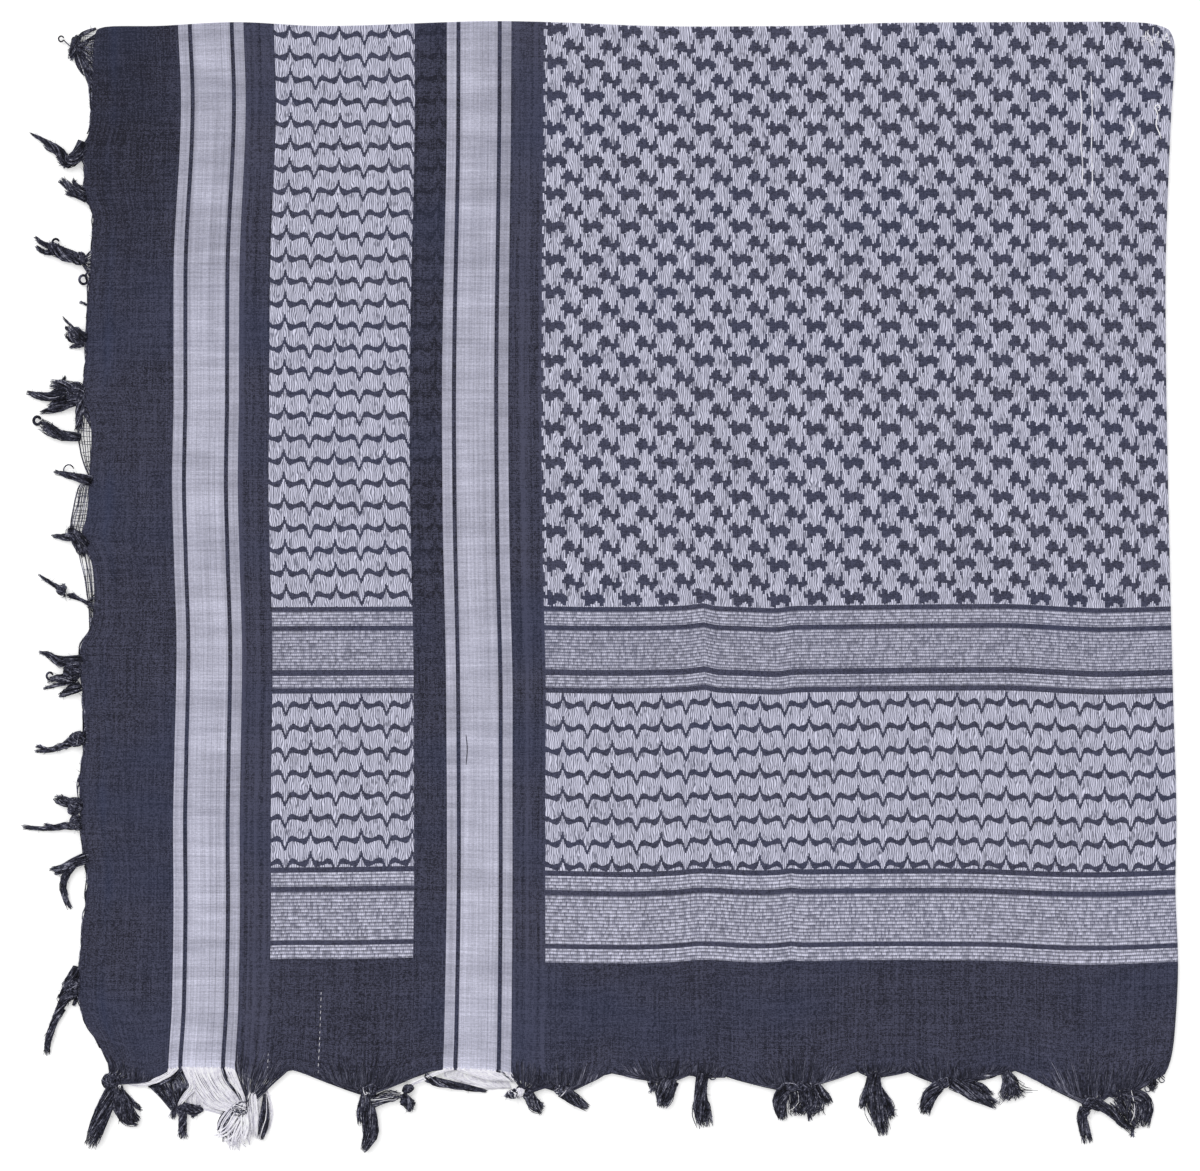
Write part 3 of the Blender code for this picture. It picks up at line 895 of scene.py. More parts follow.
def stray_fibres(paths, many, white=0.0):
    """Short fine fibres that have worked loose from the threads."""
    strand = thread_chance.integers(0, paths.shape[0], many)
    step = thread_chance.integers(1, paths.shape[1] - 1, many)
    start = paths[strand, step]
    onward = unit(paths[strand, step + 1] - start) * thread_chance.uniform(0.2, 1.0, (many, 1))
    away_flat = thread_chance.normal(0, 1, (many, 2))
    away = unit(np.concatenate([away_flat, thread_chance.normal(0, 0.35, (many, 1))], axis=1))
    length = thread_chance.uniform(0.8, 2.6, (many, 1))
    curl = thread_chance.normal(0, 0.25, (many, 3))
    middle = start + (onward + away * 0.5) * length * 0.5
    end = start + (onward + away + curl) * length
    controls = np.stack([start, middle, end], axis=1)
    fibres = smooth_paths(controls, 4)
    fibres[..., 2] = np.maximum(fibres[..., 2], 0.2)
    return fibres, np.full(many, fibre_radius), navy_or_white(many, white)


def lock(points, widths, strands, twist=2.0, fray=0.28, white=0.0, core=True, lift=0.0, cords=1.0):
    """A lock of threads along a line of (across, up) points.

    widths are its half widths along the line, in millimetres. twist is how far it turns, in radians, and
    fray how far the threads part at its end. A core of painted shade fills it: a dark tube that stands
    for the shade between its threads. cords above 1 make fewer, thicker threads.
    """
    steps = max(7, 2 * len(points) + 1)
    line = smooth_paths(np.array(points, float)[None], steps)[0]
    half = np.interp(np.linspace(0, 1, steps), np.linspace(0, 1, len(widths)), widths)
    along = unit(np.gradient(line, axis=0))
    aside = np.stack([-along[:, 1], along[:, 0]], axis=-1)
    strands = int(strands * fullness / cords)
    thick = np.minimum(half * 0.75, thickest_lock)
    middle = thick + off_table + lift
    clumps = max(3, round(float(half.mean()) * 2.8))
    place_round = np.sort(thread_chance.uniform(0, 2 * math.pi, strands))
    place_round = place_round - np.sin(place_round * clumps) / clumps * 0.9
    turn = place_round[:, None] + np.linspace(0, twist, steps)[None]
    depth = np.sqrt(thread_chance.uniform(0.25, 1.0, strands))[:, None]
    wander = smooth_paths(thread_chance.normal(0, 1, (strands, 4, 2)), steps)
    spread_out = np.linspace(0, 1, steps)[None] ** 2 * fray * 3.0 + 0.10
    sideways = half[None] * depth * np.cos(turn) + wander[..., 0] * spread_out * (0.4 + half[None] * 0.25)
    upright = middle[None] + thick[None] * depth * np.sin(turn) + wander[..., 1] * 0.15
    end_share = 1 - thread_chance.uniform(0, 0.28, strands)[:, None] * np.linspace(0, 1, steps)[None] ** 2
    total = np.concatenate([[0], np.cumsum(np.linalg.norm(np.diff(line, axis=0), axis=1))])
    reach = total[None] * end_share
    place_x = np.interp(reach, total, line[:, 0]) + aside[None, :, 0] * sideways
    place_y = np.interp(reach, total, line[:, 1]) + aside[None, :, 1] * sideways
    paths = np.stack([place_x, place_y, np.maximum(upright, lowest_path)], axis=-1)
    radii = np.full(strands, thread_radius * cords) * thread_chance.uniform(0.8, 1.25, strands)
    finish = navy_or_white(strands, white)
    bundles = [(paths, radii, finish), stray_fibres(paths, int(strands * 0.5), white)]
    # The core is painted shade: a dark tube inside the lock that darkens the gaps between its threads.
    if core:
        shrink = np.interp(np.linspace(0, 1, steps), [0, 0.8, 1], [0.62, 0.55, 0.1])
        inner = np.concatenate([line, middle[:, None]], axis=1)[None]
        core_radii = (np.minimum(half, thick * 1.3) * shrink)[None]
        bundles.append((inner[:, :-1], core_radii[:, :-1], filling_finish(white)))
    return bundles


def lump(across, up, half_width, half_length, angle, strands=26, white=0.0):
    """A knot: threads wound about a small flattened ball, which is painted shade unless the knot is
    white. angle turns its long side, in degrees.
    """
    steps = 10
    strands = int(strands * 1.5)
    ball = np.array([half_length, half_width, min(half_width, thickest_knot)])
    tilt = thread_chance.normal(0, 0.45, strands)
    pole = unit(np.stack([np.ones(strands), tilt, thread_chance.normal(0, 0.45, strands)], axis=-1))
    first = unit(np.cross(pole, [0.0, 0.0, 1.0]))
    second = np.cross(pole, first)
    shift = thread_chance.uniform(-0.75, 0.75, strands)[:, None, None]
    start = thread_chance.uniform(0, 2 * math.pi, strands)[:, None]
    turn = (start + np.linspace(0, 5.0, steps)[None])[..., None]
    ring = first[:, None] * np.cos(turn) + second[:, None] * np.sin(turn)
    paths = pole[:, None] * shift + ring * np.sqrt(1 - shift ** 2)
    paths = paths * ball * thread_chance.uniform(0.88, 1.02, strands)[:, None, None]
    cosine, sine = math.cos(math.radians(angle)), math.sin(math.radians(angle))
    place_x = across + paths[..., 0] * cosine - paths[..., 1] * sine
    place_y = up + paths[..., 0] * sine + paths[..., 1] * cosine
    height = np.maximum(paths[..., 2] + ball[2] + off_table, lowest_path)
    finish = navy_or_white(strands, white)
    paths = np.stack([place_x, place_y, height], axis=-1)
    # The filling is painted shade: a dark ball inside the knot that darkens the gaps between its threads.
    axis = np.linspace(-0.9, 0.9, 7)
    axis_x, axis_y = across + axis * half_length * cosine, up + axis * half_length * sine
    filling = np.stack([axis_x, axis_y, np.full(7, ball[2] + off_table)], axis=-1)[None]
    filling_radii = (np.sqrt(1 - axis ** 2) * min(half_width, ball[2]) * 0.9)[None]
    return [
        (paths, np.full(strands, thread_radius * 1.3), finish),
        (filling, filling_radii, filling_finish(white)),
    ]


def loop(across, up, radius, thickness=0.45, stem=None):
    """One thread end that curls back on itself, with its stem."""
    turn = np.linspace(0.3, 5.9, 9)
    points = [
        (across + radius * math.cos(t), up + radius * math.sin(t) * 1.1, 1.2 + 0.5 * math.sin(t / 2))
        for t in turn
    ]
    if stem:
        points = [*points, ((across + stem[0]) / 2, (up + stem[1]) / 2, 1.4), (stem[0], stem[1], 1.6)]
    return [(smooth_paths(np.array(points)[None], 16), np.array([thickness]), np.array([navy_yarn]))]


def ladder(rows, threads=6, rung=1.7, cord=0.36):
    """Warp threads that have slipped apart beyond the firm edge, with a few rungs of weft.

    rows are (up, outer, inner): how far across the loose threads reach at that height.
    """
    ups, outer, inner = np.array(rows, float).T
    steps = 3 * len(rows) + 2
    line = np.linspace(ups[0], ups[-1], steps)
    outer_line, inner_line = np.interp(line, ups, outer), np.interp(line, ups, inner)
    share = (np.arange(threads) / threads)[:, None]
    wander = thread_chance.normal(0, 0.25, (threads, max(4, steps // 3), 1))
    wobble = smooth_paths(wander, steps)[..., 0]
    sideways = outer_line[None] * (1 - share) + inner_line[None] * share + wobble
    height = 1.3 + 1.3 * share + 0 * sideways
    ropes = np.stack([sideways, line[None] + 0 * sideways, height], axis=-1)
    thickness = np.where(np.arange(threads) == 0, cord, thread_chance.uniform(0.16, 0.30, threads))
    places = np.arange(ups[0], ups[-1], rung)
    places = places + thread_chance.uniform(0, rung, len(places))
    start, end = np.interp(places, ups, inner) + 1.0, np.interp(places, ups, outer) - 0.1
    slope = thread_chance.normal(0, 0.6, len(places))
    rungs = np.stack(
        [
            np.stack([start, places, np.full(len(places), 2.7)], axis=-1),
            np.stack([(start + end) / 2, places + slope * 0.4, np.full(len(places), 2.1)], axis=-1),
            np.stack([end, places + slope, np.full(len(places), 1.4)], axis=-1),
        ],
        axis=1,
    )
    return [
        (ropes, thickness, np.zeros(threads, int)),
        (smooth_paths(rungs, 6), np.full(len(places), 0.16), np.zeros(len(places), int)),
        stray_fibres(ropes, 3 * threads),
    ]


def selvedge(low, high, threads=3):
    """The outermost warp threads, which wander a little along the edge, with fibres standing off."""
    steps = max(8, int((high - low) / 1.5))
    line = np.linspace(low, high, steps)
    edge_x, edge_y = lie_of_weave(np.zeros(steps), line)
    wander = thread_chance.normal(0, 0.42, (threads, max(4, steps // 3), 1))
    aside = smooth_paths(wander, steps)[..., 0] - 0.25
    paths = np.stack([edge_x + aside, edge_y + 0 * aside, 2.5 + 0.3 * aside], axis=-1)
    return [
        (paths, np.full(threads, 0.3), np.zeros(threads, int)),
        stray_fibres(paths, int((high - low) * 0.7)),
    ]


def side_gather(low, high, knot, strands=34):
    """Threads drawn together from a stretch of the left edge to a knot."""
    base = np.linspace(low, high, strands) + thread_chance.normal(0, 0.4, strands)
    nearness = np.exp(-(((base - knot[1]) / 6) ** 2))
    inside = 0.6 + 4.0 * nearness * thread_chance.uniform(0, 1, strands) ** 2
    edge_x, edge_y = lie_of_weave(np.zeros(strands), base)
    target = np.array(knot)[None] + thread_chance.normal(0, 0.7, (strands, 2))
    start = np.stack([edge_x + inside, edge_y, face_top(inside, base) - 0.12], axis=-1)
    rim = np.stack(
        [edge_x + 0.3, edge_y + (target[:, 1] - edge_y) * 0.12, np.full(strands, 2.7)], axis=-1,
    )
    middle = np.stack(
        [edge_x * 0.45 + target[:, 0] * 0.55, edge_y * 0.4 + target[:, 1] * 0.6, np.full(strands, 2.4)],
        axis=-1,
    )
    end = np.concatenate([target, thread_chance.uniform(1.0, 3.2, strands)[:, None]], axis=1)
    controls = np.stack([start, rim, middle, end], axis=1)
    return [(smooth_paths(controls, 8), np.full(strands, thread_radius * 1.1), np.zeros(strands, int))]


def tubes(paths, radii, sides):
    """Rings of points round each path, and how far along the path each ring stands."""
    strands, steps, _ = paths.shape
    if radii.ndim == 1:
        taper = np.interp(np.linspace(0, 1, steps), [0, 0.08, 0.92, 1], [0.6, 1, 1, 0.45])
        radii = radii[:, None] * taper[None]
    along = unit(np.gradient(paths, axis=1))
    side = unit(np.cross(along[:, 0], [0.13, 0.21, 1.0]))
    turns = np.linspace(0, 2 * math.pi, sides, endpoint=False)
    points = np.empty((strands, steps, sides, 3))
    for step in range(steps):
        side = unit(side - along[:, step] * (side * along[:, step]).sum(-1, keepdims=True))
        over = np.cross(along[:, step], side)
        ring = side[:, None] * np.cos(turns)[None, :, None] + over[:, None] * np.sin(turns)[None, :, None]
        points[:, step] = paths[:, step, None] + ring * radii[:, step, None, None]
    lengths = np.linalg.norm(np.diff(paths, axis=1), axis=-1).cumsum(axis=1)
    lengths = np.concatenate([np.zeros((strands, 1)), lengths], axis=1)
    return points, lengths


def thread_piece(name, bundles):
    """One mesh of all the threads in the bundles, which are (paths, radii, finishes).

    Its map holds each thread's number plus the share of the way round, and the length along it.
    """
    places, faces, maps, slots = [], [], [], []
    first, number = 0, 0
    for paths, radii, finish in bundles:
        if radii.ndim == 2:
            many = core_sides
        elif radii.max() <= fibre_radius:
            many = fibre_sides
        else:
            many = thread_sides
        points, lengths = tubes(np.asarray(paths, float), np.asarray(radii, float), many)
        strands, steps = lengths.shape
        points[..., 2] = np.maximum(points[..., 2], 0.02)
        places.append(points.reshape(-1, 3))
        index = first + np.arange(strands * steps * many).reshape(strands, steps, many)
        ahead = np.roll(index, -1, axis=2)
        quads = np.stack([index[:, :-1], ahead[:, :-1], ahead[:, 1:], index[:, 1:]], axis=-1)
        around = np.arange(many)
        low_around = number + np.arange(strands)[:, None, None] + map_margin + map_width * around / many
        high_around = low_around + map_width / many
        low_along = np.broadcast_to(lengths[:, :-1, None], quads.shape[:3])
        high_along = np.broadcast_to(lengths[:, 1:, None], quads.shape[:3])
        low_around = np.broadcast_to(low_around, quads.shape[:3])
        high_around = np.broadcast_to(high_around, quads.shape[:3])
        corner_around = np.stack([low_around, high_around, high_around, low_around], axis=-1)
        corner_along = np.stack([low_along, low_along, high_along, high_along], axis=-1)
        faces += quads.reshape(-1, 4).tolist()
        maps.append(np.stack([corner_around, corner_along * 0.001], axis=-1).reshape(-1, 2))
        slots += np.repeat(finish, (steps - 1) * many).tolist()
        for strand in range(strands):
            # The two ends are closed with a flat cap.
            faces += [index[strand, 0, ::-1].tolist(), index[strand, -1].tolist()]
            maps.append(np.full((2 * many, 2), (number + strand + 0.5, 0.0)))
            slots += [int(finish[strand])] * 2
        first += strands * steps * many
        number += strands
    mesh = bpy.data.meshes.new(name)
    points = (np.concatenate(places) + [weave_left, weave_bottom, 0.0]) * 0.001
    mesh.from_pydata(points.tolist(), [], faces)
    mesh.uv_layers.new(name="thread").data.foreach_set("uv", np.concatenate(maps).ravel())
    for finish in thread_finishes:
        mesh.materials.append(finish)
    mesh.polygons.foreach_set("material_index", slots)
    mesh.shade_smooth()
    piece = bpy.data.objects.new(name, mesh)
    bpy.context.scene.collection.objects.link(piece)
    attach(piece, "root")
    return piece


def tassel_pieces(tassels):
    """One piece for each tassel, in place of its plain node. Only the fourth at the bottom is white."""
    pieces = []
    for node_name, parts in tassels.items():
        bundles = [bundle for part in parts for bundle in part]
        piece = thread_piece(node_name.replace("tassel", "knotted_ends"), bundles)
        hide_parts(node_name)
        "white_thread" if node_name == "tassel_bottom_04" else "navy_thread"
        pieces.append(piece)
    return pieces


# A twisted cotton thread: each is lighter or darker than the next, with fine plies winding round it,
# painted darker in the grooves between the plies as shade and lighter on their ridges as highlight.
twisted_thread, given, result = new_group("twisted_thread", ("Thread", "Along"), ("Tone", "Height"))
thread_number = given["Thread"].floor()
thread_around = given["Thread"].fraction()
thread_tone = by_chance(place_of(thread_number, 3.0))
patches = cloudy(place_of(thread_number * 4.3, given["Along"] / 1.5), 1.0, 2.0)
patches = spread(patches, 0.3, 0.7, 0.0, 1.0)
plies = thread_around * 2.0 + given["Along"] / 0.9
plies = (plies * (2 * math.pi)).sine() * 0.5 + 0.5
tone = thread_tone ** 2.0 * 0.35 + patches * 0.45
streaks = cloudy(place_of(thread_number * 0.17, given["Along"] / 7.0), 1.0, 1.0)
tone = tone + spread(streaks, 0.36, 0.64, -0.2, 0.3)
# Painted shade and highlight: the tone is darker in the grooves between the plies and lighter on their
# ridges.
tone = tone * (plies * 0.35 + 0.75)
join(tone, result["Tone"])
join(plies, result["Height"])


def thread_finish(name, stops, glint_strength=0.10):
    """Twisted cotton of one dye, with fine light flecks painted on as glints. stops are (tone, colour),
    from dark to light, and the last argument is how strong the painted glints are.
    """
    material = bpy.data.materials.new(name)
    material.use_nodes = True
    tree = material.node_tree
    shader = tree.nodes["Principled BSDF"]
    thread, along = own_map(tree, "thread")
    look = use_group(tree, twisted_thread, Thread=thread, Along=along * 1000.0)
    coordinates = tree.nodes.new("ShaderNodeTexCoord")
    # Painted glints: fine light flecks scattered over the thread's colour.
    glint_flecks = cloudy(Reading(tree, coordinates.outputs["Object"]), 820.0, 2.0)
    tone = look["Tone"] + spread(glint_flecks, 0.36, 0.66, -glint_strength, 2 * glint_strength)
    colours = graded(tone, [(place, *colour) for place, colour in stops], True)
    join(colours["Color"], shader.inputs["Base Color"])
    join(spread(look["Tone"], 0.0, 1.0, 0.9, 0.7), shader.inputs["Roughness"])
    shader.inputs["Specular IOR Level"].default_value = 0.15
    shader.inputs["Sheen Weight"].default_value = 0.08
    shader.inputs["Sheen Roughness"].default_value = 0.4
    bumped(look["Height"], 0.4, 0.0001, shader)
    return material


# Navy thread: its lightest tones are partly lighter strands and partly painted glints.
navy_thread = thread_finish(
    "navy_thread",
    [
        (0.12, dye(13, 13, 21)), (0.42, dye(50, 51, 67)), (0.67, dye(92, 93, 112)),
        (1.0, dye(190, 190, 206)),
    ],
)
# Painted shade: near-black thread for the cores of locks and the fillings of knots, standing for the
# shade between threads.
painted_shade_thread = thread_finish("painted_shade_thread", [(0.1, dye(12, 12, 19)), (1.0, dye(42, 43, 57))])
drawn_thread = thread_finish(
    "drawn_thread", [(0.05, dye(24, 24, 34)), (0.40, dye(50, 51, 67)), (1.0, dye(112, 113, 132))], 0.05,
)
white_thread = thread_finish(
    "white_thread", [(0.05, dye(210, 208, 220)), (0.30, dye(238, 236, 245)), (0.75, dye(252, 252, 254))],
    0.06,
)
worn_thread = thread_finish(
    "worn_thread", [(0.05, dye(66, 66, 82)), (0.5, dye(112, 112, 130)), (1.0, dye(176, 176, 190))],
)

thread_finishes = [navy_thread, white_thread, painted_shade_thread, drawn_thread, worn_thread]

# What each tassel is made of, from the top down: all places are (across, up) in the weave.
left_tassels = {
    "tassel_left_01": [
        side_gather(486, 521, (-3, 512), 60), lump(-3.6, 513.5, 1.9, 3.2, 100),
        lock([(-2, 517), (-4.6, 511), (-6.2, 504.5)], [1.6, 2.2, 0.9], 34, fray=0.3),
        lock([(6.5, 521), (3, 519.6), (-1, 517.6), (-4.5, 516)], [0.5, 0.8, 0.9, 0.8], 12),
        loop(-10.8, 515.6, 1.3, 0.4, (-5, 511)),
        lock([(-1, 514), (1, 505), (2, 497), (4.5, 488)], [1.0, 0.9, 0.8, 0.4], 12),
        lock([(-4, 509), (-2.5, 503), (0.5, 497)], [0.8, 0.9, 0.3], 10),
        ladder(
            [
                (466, 3, 5.5), (475, 4.2, 5.8), (485, 4, 6), (493, 2.8, 6), (500, 0.2, 6), (505, -1.6, 6),
                (511, -3.2, 6), (517, -2.6, 6.5),
            ],
            7, 1.2,
        ),
    ],
    "tassel_left_02": [
        selvedge(468, 490), side_gather(450, 470, (-1.5, 458), 44),
        lock([(0.5, 464), (-3, 456.5), (-8, 454), (-12, 458)], [2.8, 3.4, 3.2, 2.6], 52, 3),
        lock([(-9, 456), (-14, 461), (-20, 465), (-27, 469)], [2.8, 2.2, 1.2, 0.3], 40, 4, 0.05),
        lock([(-11, 458), (-16, 460.5), (-20, 463)], [1.6, 1.4, 0.4], 14),
        lock([(-7, 452), (-10, 452)], [0.9, 0.4], 6),
    ],
    "tassel_left_03": [
        selvedge(408, 452), side_gather(428, 445, (0, 437), 36),
        lock([(1, 438), (-5, 440), (-11, 446.5)], [3, 2, 0.4], 26),
        lock([(1, 437), (-6, 440), (-12.5, 445)], [3, 1.5, 0.3], 22),
        lock([(2, 436), (-4, 437.5), (-9.5, 439)], [2.6, 1.6, 0.5], 22),
        lock([(0, 440), (-4, 443), (-5, 446)], [1.8, 1, 0.3], 12, 1, 0.4),
    ],
    "tassel_left_04": [
        side_gather(395, 411, (0, 404), 36), lump(-1.5, 405.5, 3.2, 3.8, 30),
        lock([(0, 405), (-8, 407), (-15, 411), (-18, 412)], [3, 3.4, 2.8, 1.6], 52, 4),
        lock([(-14, 411), (-20, 413), (-24.5, 417)], [1.7, 1.2, 0.3], 18),
        lock([(-13, 409), (-19, 408.5), (-24, 412)], [1.6, 1.3, 0.4], 18),
        loop(-13.5, 413.6, 1.7, 0.6, (-11, 410)), loop(0.3, 395, 2.0, 0.7, (2.5, 399)),
        lock([(2, 382.5), (-2.2, 384.3)], [0.6, 0.2], 5),
    ],
    "tassel_left_05": [
        selvedge(346, 396), side_gather(356, 372, (1, 365), 30),
        lock([(2, 365), (-4, 367), (-8.5, 369)], [3.2, 4.4, 2.2], 36, 2, 0.3, 0.05),
        lock([(2, 365), (-5, 371), (-11, 377)], [0.9, 0.7, 0.4], 9, 5, 0.03),
        lock([(1, 363), (-4, 361.8), (-7, 361)], [1.6, 1, 0.3], 12),
        lock([(-6, 369), (-9, 372)], [1, 0.6], 7),
    ],
    "tassel_left_06": [
        side_gather(318, 346, (-2, 334), 60), lump(-3.5, 338, 4.6, 6, 70, 40),
        lock([(-2, 340), (-9, 342), (-17, 343)], [3, 2.6, 1.3], 36),
        lock([(-9, 340), (-16, 336.5), (-22, 337), (-28.5, 338.5)], [3, 2.5, 1.9, 0.8], 40, 3, 0.1),
        lock([(-4, 334), (-12, 330.5), (-22, 328.8)], [2.6, 1.8, 0.6], 28),
        lock([(-1, 316), (-9, 317), (-15, 319), (-22, 323.5)], [2.0, 2.6, 2.8, 2.0], 44, 3),
        loop(-22.8, 324.4, 1.8, 0.8, (-17, 321)),
        lock([(0, 341), (-1.5, 328), (-2.5, 318)], [2.6, 2, 1.6], 30, 4),
        lock([(-11, 341), (-9, 347.5)], [1, 0.3], 7),
        lock([(-8, 336), (-14, 333.5), (-17, 330)], [2, 1.6, 0.6], 16, 2, 0.4),
        lock([(5, 294), (-5, 296.3), (-15, 299)], [2.9, 1.8, 0.4], 30),
        loop(-7, 299.5, 2.6, 0.35, (-2, 297)),
        ladder(
            [
                (297, 3, 5), (301, 1.5, 4.6), (308, -0.7, 4.9), (316, -2.3, 5.2), (326, -1.8, 4.4),
                (332, -1.5, 3.5),
            ],
            5, 2.2,
        ),
    ],
    "tassel_left_07": [
        selvedge(206, 226), side_gather(252, 272, (-1.5, 263), 36),
        lock([(2, 263), (-4, 266.5), (-9, 266), (-16.5, 267)], [2.8, 3.2, 1.7, 0.6], 36, 3),
        lock([(-5, 269), (-2, 261), (1, 256)], [2, 2.2, 1], 20),
        lock([(3, 262), (-5, 268), (-6.5, 272)], [2.5, 2.4, 1.2], 24),
        ladder(
            [
                (264, -5, 0), (269.5, -6.5, 0.8), (275, -6, 2.4), (284.5, -3.8, 3.2), (291, -1.8, 3.6),
                (295, 1, 4),
            ],
            7, 1.5,
        ),
    ],
    "tassel_left_08": [
        side_gather(228, 238, (2, 233), 20),
        lock([(4, 232), (-3, 235.5), (-9, 238)], [1.1, 1, 1.3], 14, 4),
        lump(-10.5, 239.5, 2.4, 2.8, 60, 20),
        lock([(-11, 240), (-16, 243), (-22.5, 247.5)], [1.5, 1.0, 0.5], 16, 5, 0.05),
        lock([(-9, 240), (-10, 243)], [1, 0.4], 6), lock([(-10, 238), (-9, 236)], [1, 0.4], 6),
        ladder(
            [
                (219, 3.2, 4.8), (226, 2.8, 6), (235, 2.2, 6.4), (248, 0.2, 5.6), (258, -1.8, 4.2),
                (262, -2.5, 2),
            ],
            6, 5.0, 0.26,
        ),
    ],
    "tassel_left_09": [
        side_gather(187, 208, (0, 198), 44), lump(-5, 199, 4.6, 6, 80, 40),
        lock([(0, 205), (-10, 203.5), (-17, 207), (-22.5, 208.5)], [2.5, 3, 1.3, 0.3], 32),
        lock([(-5, 196), (-12, 195.5), (-18.5, 194)], [3, 1.8, 0.8], 24),
        lock([(-5, 194), (-13, 192), (-20.5, 190.5)], [2, 1, 0.3], 14),
        lock([(-1, 192), (-8, 188.5), (-12.5, 186.5)], [3, 2, 0.7], 24),
        loop(-16.5, 196.5, 1.6, 0.6, (-12, 196)),
    ],
    "tassel_left_10": [
        selvedge(134, 188), side_gather(158, 172, (1, 165), 30), lump(-2.5, 165, 3.6, 5, 30, 32),
        lock([(-3, 166), (-8, 162.5), (-14, 160), (-25, 158.5)], [3, 1.9, 1.3, 0.7], 30, 5),
        lock([(-18, 160), (-24, 161.5)], [0.9, 0.4], 8), lock([(-5, 163), (-9, 160)], [1.4, 0.6], 8),
    ],
    "tassel_left_11": [
        side_gather(116, 137, (0, 127), 40), lump(-3.5, 131, 3.6, 5, 60, 32),
        lock([(-3, 133), (-9, 133.5), (-14.5, 136)], [2.8, 2.4, 1.6], 28),
        lump(-3.5, 123.5, 3, 4, 80, 26),
        lock([(0, 121), (-8, 121.5), (-18, 120), (-31.5, 120.5)], [2.2, 1.8, 1.1, 0.3], 34, 6),
        lock([(-14, 121), (-20, 122.5)], [0.8, 0.3], 6), loop(0, 137, 1.4, 0.5, (1.5, 134)),
    ],
    "tassel_left_12": [
        selvedge(96, 118), side_gather(98, 112, (2, 106), 28),
        lock([(2, 106), (-5, 102.5), (-12, 100), (-17, 99.5)], [3, 2.4, 1.4, 0.7], 34),
        lock([(-2, 105), (-9, 96), (-9.5, 87), (-6, 79.5)], [2.2, 1.9, 1.5, 1.1], 34, 5),
        lock([(-6, 101), (-12, 98), (-15, 97.5)], [1.6, 1, 0.3], 12),
    ],
    "tassel_left_13": [
        selvedge(8, 100), side_gather(28, 56, (-2.5, 44), 44), lump(-5.5, 40, 3.8, 7, 70, 40),
        lock([(-3, 51), (-6, 42), (-9, 35), (-10, 31)], [2, 4, 3, 1.8], 44, 4),
        lock([(-8, 36), (-13, 27), (-17, 16), (-18, 6)], [2.6, 1.9, 1.5, 0.9], 40, 6),
        lock([(-10, 30), (-15, 21), (-19, 15)], [1.6, 1.2, 0.5], 16),
        lock([(-2, 37), (-5, 31)], [1.2, 0.5], 8), lock([(-6, 46), (-10, 41)], [1.6, 0.7], 12),
    ],
}
left_pieces = tassel_pieces(left_tassels)


# ---------------------------------------------------------------------------
# Knotted thread ends at the bottom edge. The real ones are the warp threads: they run on from the
# weave in their own colours, draw together in wide gathers, are knotted, and hang on as tails.

def warp_colours(base, colour):
    """Finishes of the warp threads: as the stripes have them, or white in the share that colour gives."""
    if colour is not None:
        return navy_or_white(len(base), colour)
    first_stripe_near = base < first_column[1]
    from_stripe = base - np.where(first_stripe_near, first_stripe_left, second_stripe_left)
    light = np.zeros(len(base), bool)
    for start, end in ((0, 4.8), (6.9, 25.5), (27.5, stripe_width)):
        light |= (from_stripe > start) & (from_stripe < end)
    return np.where(light, white_yarn, navy_yarn)


def bottom_gather(low, high, knot, sag=1.2, layer=0.0, colour=None, rise=8.0, pitch=0.42, lean=0.045):
    """Warp threads drawn together from a stretch of the bottom edge to a knot.

    layer is how deep the stretch lies below the face, and rise how far up into the weave the threads are
    drawn. colour is the share of worn white threads, or None to keep the weave's own colours.
    """
    base = np.arange(low, high, pitch)
    strands = len(base)
    base = base + thread_chance.normal(0, 0.12, strands)
    target = np.array(knot)[None] + thread_chance.normal(0, 0.8, (strands, 2))
    nearness = np.exp(-(((base - knot[0]) / 22) ** 2))
    inside = 0.8 + rise * nearness * thread_chance.uniform(0.1, 1, strands) ** 1.5
    away = np.clip(base + (base - knot[0]) * lean * inside, 0.8, weave_width - 0.8)
    start_x, start_y = lie_of_weave(away, inside)
    half_x, half_y = lie_of_weave(away * 0.45 + base * 0.55, inside * 0.5)
    rim_x, rim_y = lie_of_weave(base, np.zeros(strands))
    sunk = 0.5 * (1 - nearness) + layer
    start = np.stack([start_x, start_y, face_top(away, inside) - 0.05 - sunk], axis=-1)
    half_way = np.stack([half_x, half_y, face_top(away, inside * 0.5) + 0.14 - sunk], axis=-1)
    rim_z = face_top(base, np.zeros(strands)) + 0.05 - sunk
    to_knot_x, to_knot_y = target[:, 0] - rim_x, target[:, 1] - rim_y
    rim = np.stack([rim_x + to_knot_x * 0.06, rim_y - 0.4, rim_z], axis=-1)
    share = 0.5 + 0.1 * thread_chance.uniform(-1, 1, strands)
    bend_y = rim_y + to_knot_y * share - sag * (1 - nearness)
    bend_z = 2.4 - layer + thread_chance.normal(0, 0.15, strands)
    bend = np.stack([rim_x + to_knot_x * share, bend_y, bend_z], axis=-1)
    end_z = np.maximum(thread_chance.uniform(0.8, 3.6, strands) - layer, 0.5)
    end = np.concatenate([target, end_z[:, None]], axis=1)
    paths = smooth_paths(np.stack([start, half_way, rim, bend, end], axis=1), 11)
    finish = warp_colours(base, colour)
    if colour is not None:
        finish[finish == white_yarn] = worn_yarn
    finish[finish == navy_yarn] = drawn_yarn
    thickness = np.where(finish == worn_yarn, 0.17, 0.27) * thread_chance.uniform(0.8, 1.2, strands)
    return [(paths, thickness, finish), stray_fibres(paths[:, 4:], int(strands * 0.5))]


